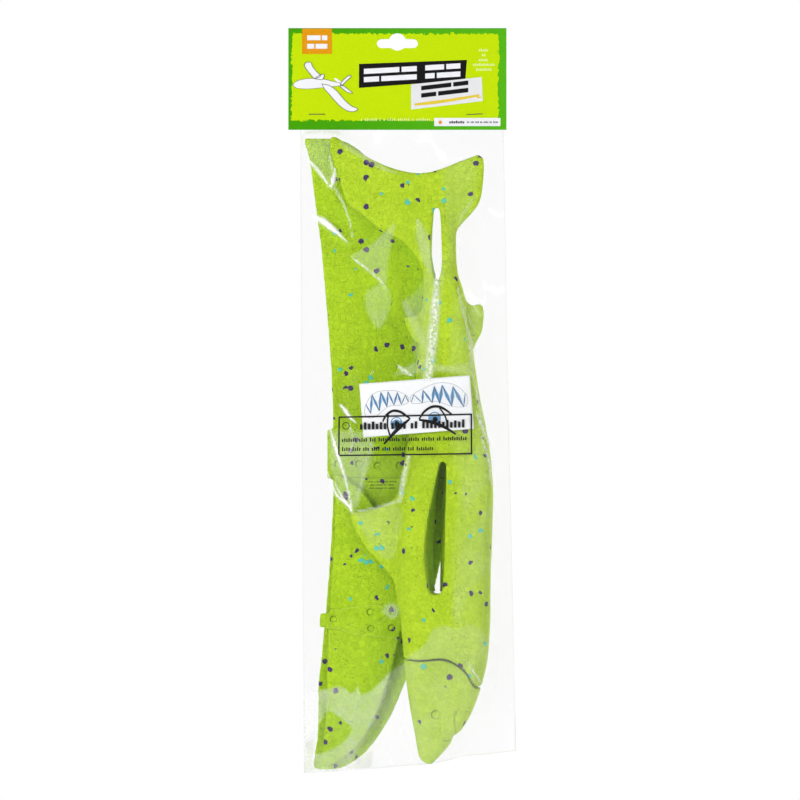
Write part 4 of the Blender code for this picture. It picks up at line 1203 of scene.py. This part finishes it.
def make_film(material, loads):
    """Front and back film pulled tight over the contents, pinched at the sides, the floor and the card."""
    x, z = bag_grid()
    left, right = run(BAG_SEAM_LEFT, z[:, :1]), run(BAG_SEAM_RIGHT, z[:, -1:])
    share = np.linspace(0.0, 1.0, FILM_COLUMNS)[None, :]
    seam = left + (right - left) * share
    neck = z > NECK
    pinned = neck.copy()
    pinned[:, 0] = pinned[:, -1] = pinned[-1, :] = True
    points, painted_sheens = [], []
    for side, creases, seed in ((-1, FRONT_CREASES, 3.0), (1, BACK_CREASES, 11.0)):
        floor = np.max([heights_over(load, x, z, side, travel) for load, travel in loads], axis=0)
        floor = spread(floor) + FILM_GAP
        start = np.where(neck, NECK_DEPTH, side * seam)
        film = stretched(np.where(pinned, -FAR, floor), start, pinned)
        touch = np.clip(1 - (film - floor) / 1.2, 0, 1)
        ease = np.minimum(smooth(0.0, 0.09, share), smooth(1.0, 0.91, share))
        ease = ease * smooth(NECK, -84.0, z) * smooth(0.0, 5.0, z - run(BAG_FLOOR, x))
        extra = crumple(x, z, seed) * (0.35 + 0.65 * (1 - touch))
        for line, height, width in creases:
            away = along(line, x, z)
            extra = np.maximum(extra, extra * 0.5 + height * np.clip(1 - away / width, 0, 1) ** 1.15)
        surface = np.clip(side * (film + extra * ease), *FILM_LIMITS)
        points += zip(x.flat, surface.flat, z.flat)
        # Painted sheen: the front film's from the tables, the back film's faint where it stands off the
        # contents.
        painted_sheens += list((painted_sheen_over(x, z) if side < 0 else 0.03 * (1 - touch)).flat)
    count = FILM_ROWS * FILM_COLUMNS
    faces = grid_faces(FILM_ROWS, FILM_COLUMNS, 0, True) + grid_faces(FILM_ROWS, FILM_COLUMNS, count)
    mesh = mesh_from("film_bag", points, faces)
    set_attribute(mesh, "painted_sheen", painted_sheens)
    worked(mesh, lambda bm: bmesh.ops.remove_doubles(bm, verts=bm.verts, dist=1e-6))
    return show("film_bag", mesh, material, "pack", ["polybag"])


def film_print(tree):
    """Frame, ring and rows of ticks printed on the front film."""
    ink = film_print_material("film_ink", rgb(16, 16, 18))

    def surface(x, z):
        hit = tree.ray_cast(Vector((x, -FAR, z)) * MM, Vector((0.0, 1.0, 0.0)), 0.12)[0]
        return (hit.y / MM if hit is not None else -28.0) - INK_GAP

    shapes = stroke([(-42.6, -281.7), (53.9, -279.5), (54.1, -308.2), (-42.9, -309.7)], 1.15, True)
    for x0, z0, x1, height, words, slope, gap in (
        (-27.4, -290.8, 50.0, 5.8, [7, 4, 2, 11], 0.023, 2.6),
        (-40.6, -299.8, 51.0, 2.9, [7, 4, 3, 10, 2, 5, 6, 2, 11], 0.016, 1.5),
        (-40.6, -306.4, 26.6, 2.9, [4, 4, 3, 4, 4, 6, 3, 8], 0.01, 1.5),
        (-21.6, -329.4, -0.2, 1.0, [5, 8, 3, 7], 0.01, 0.8),
        (-19.8, -331.7, -2.6, 1.0, [5, 8, 3, 7], 0.01, 0.8),
        (-20.6, -334.0, -1.4, 1.0, [5, 8, 3, 7], 0.01, 0.8),
    ):
        shapes += tick_bars(x0, z0, x1, height, words, slope, gap, 0.62)
    shapes += stroke(circle(-37.6, -288.0, 2.4, 24)[:-1], 0.6, True)
    return show("film_lettering", laid("film_lettering", shapes, surface, 1.6), ink, "pack")


# --- floor, light, camera ---
def make_stage():
    disc = [(x, y, -1150.0) for x, y in circle(0.0, 0.0, 6000.0, 97)[:-1]]
    faces = [[0, 1 + i, 1 + (i + 1) % len(disc)] for i in range(len(disc))]
    floor = linked("floor", mesh_from("floor", [(0.0, 0.0, -1150.0), *disc], faces))
    g = Graph("floor_paint")
    shade = g.step(g.noise(g.place(), 3.0, 2.0), 0.3, 0.7)
    paint = g.mix(shade, (0.86, 0.86, 0.86, 1.0), (0.90, 0.90, 0.90, 1.0))
    plain = g.put("BsdfDiffuse", {"Color": paint})
    glow = g.put("Emission", {"Color": (0.90, 0.90, 0.90, 1.0), "Strength": 0.42})
    lifted = g.put("AddShader", {0: plain, 1: glow})
    straight = g.put("LightPath", out="Is Camera Ray")
    floor.data.materials.append(g.finish(g.put("MixShader", {0: straight, 1: plain, 2: lifted})))
    # The backdrop behind the pack is bright, and the room on the camera's side is dim.
    g = Graph("studio", bpy.data.worlds)
    depth = g.put("SeparateXYZ", {0: g.put("TexCoord", out="Generated")}, out="Y")
    bright = g.put("MapRange", {0: depth, 1: -0.25, 2: 0.35, 3: 0.24, 4: 1.0})
    lit = g.put("Background", {0: (0.98, 0.99, 1.0, 1.0), 1: bright})
    seen = g.put("Background", {0: (1.0, 1.0, 1.0, 1.0)})
    straight = g.put("LightPath", out="Is Camera Ray")
    SCENE.world = g.finish(g.put("MixShader", {0: straight, 1: lit, 2: seen}), "OutputWorld")


def make_lights():
    """Three soft boxes that light the pack, and two narrow strips that only show in reflections."""
    target = Vector((0.0, 0.0, -0.27))
    for name, where, size, power, strip in (
        ("key", (-1.3, -1.7, 0.25), (0.8, 1.3), 29.8, False),
        ("fill", (1.6, -1.7, -0.2), (0.8, 1.3), 15.0, False),
        ("right_strip", (1.7, -1.1, -0.2), (0.07, 1.3), 1.4, True),
        ("top_strip", (-0.3, -1.0, 1.1), (0.9, 0.07), 2.0, True),
        ("back", (0.9, 1.7, 0.4), (0.9, 0.9), 16.0, False),
    ):
        light = bpy.data.lights.new(name, "AREA")
        light.shape = "RECTANGLE"
        light.size, light.size_y = size
        light.energy = power
        lamp = linked(name, light)
        lamp.location = where
        lamp.rotation_euler = (target - lamp.location).to_track_quat("-Z", "Y").to_euler()
        lamp.visible_glossy = strip
        lamp.visible_diffuse = not strip


def make_camera():
    """A long lens straight in front, as far away as shows 0.587 m across."""
    camera = bpy.data.cameras.new("camera")
    camera.lens = 300.0
    camera.sensor_width = 36.0
    camera.clip_end = 60.0
    eye = linked("camera", camera)
    eye.location = (0.0019, -0.587 * camera.lens / camera.sensor_width, -0.2691)
    eye.rotation_euler = (math.radians(90.0), 0.0, 0.0)
    SCENE.camera = eye


def main():
    foam = foam_material("bead_foam", (0.56, 0.77, 0.026, 1.0), (0.42, 0.63, 0.011, 1.0))
    nose_foam = foam_material("bead_foam_nose", (0.55, 0.76, 0.028, 1.0), (0.42, 0.63, 0.014, 1.0))
    flat_foam = foam_material("bead_foam_flat", (0.50, 0.74, 0.016, 1.0), (0.37, 0.59, 0.007, 1.0))
    body = make_body(foam)
    nose = make_nose(nose_foam)
    wing = make_wing(flat_foam)
    tailplane = make_tailplane(flat_foam)
    ballast = NODES["nose_weight"]
    ballast.data.materials.clear()
    ballast.data.materials.append(steel_material("turned_steel", rgb(188, 188, 192), 0.32))
    make_card(card_material("coated_card"))
    make_card_prints()
    make_staples(steel_material("staple_steel", rgb(120, 122, 124), 0.3))
    paper = make_paper()
    make_stickers()
    # What the film covers, and how far up each piece travels, in mm.
    loads = [
        (bvh_of(body, nose, wing), (0.0, 2.0)),
        (bvh_of(paper), np.arange(-15.0, 4.1, 3.1)),
        (bvh_of(tailplane), np.arange(0.0, 91.0, 6.0)),
    ]
    film = make_film(film_material("clear_film"), loads)
    film_print(bvh_of(film))
    make_stage()
    make_lights()
    make_camera()
    SCENE.view_settings.view_transform = "Standard"


main()
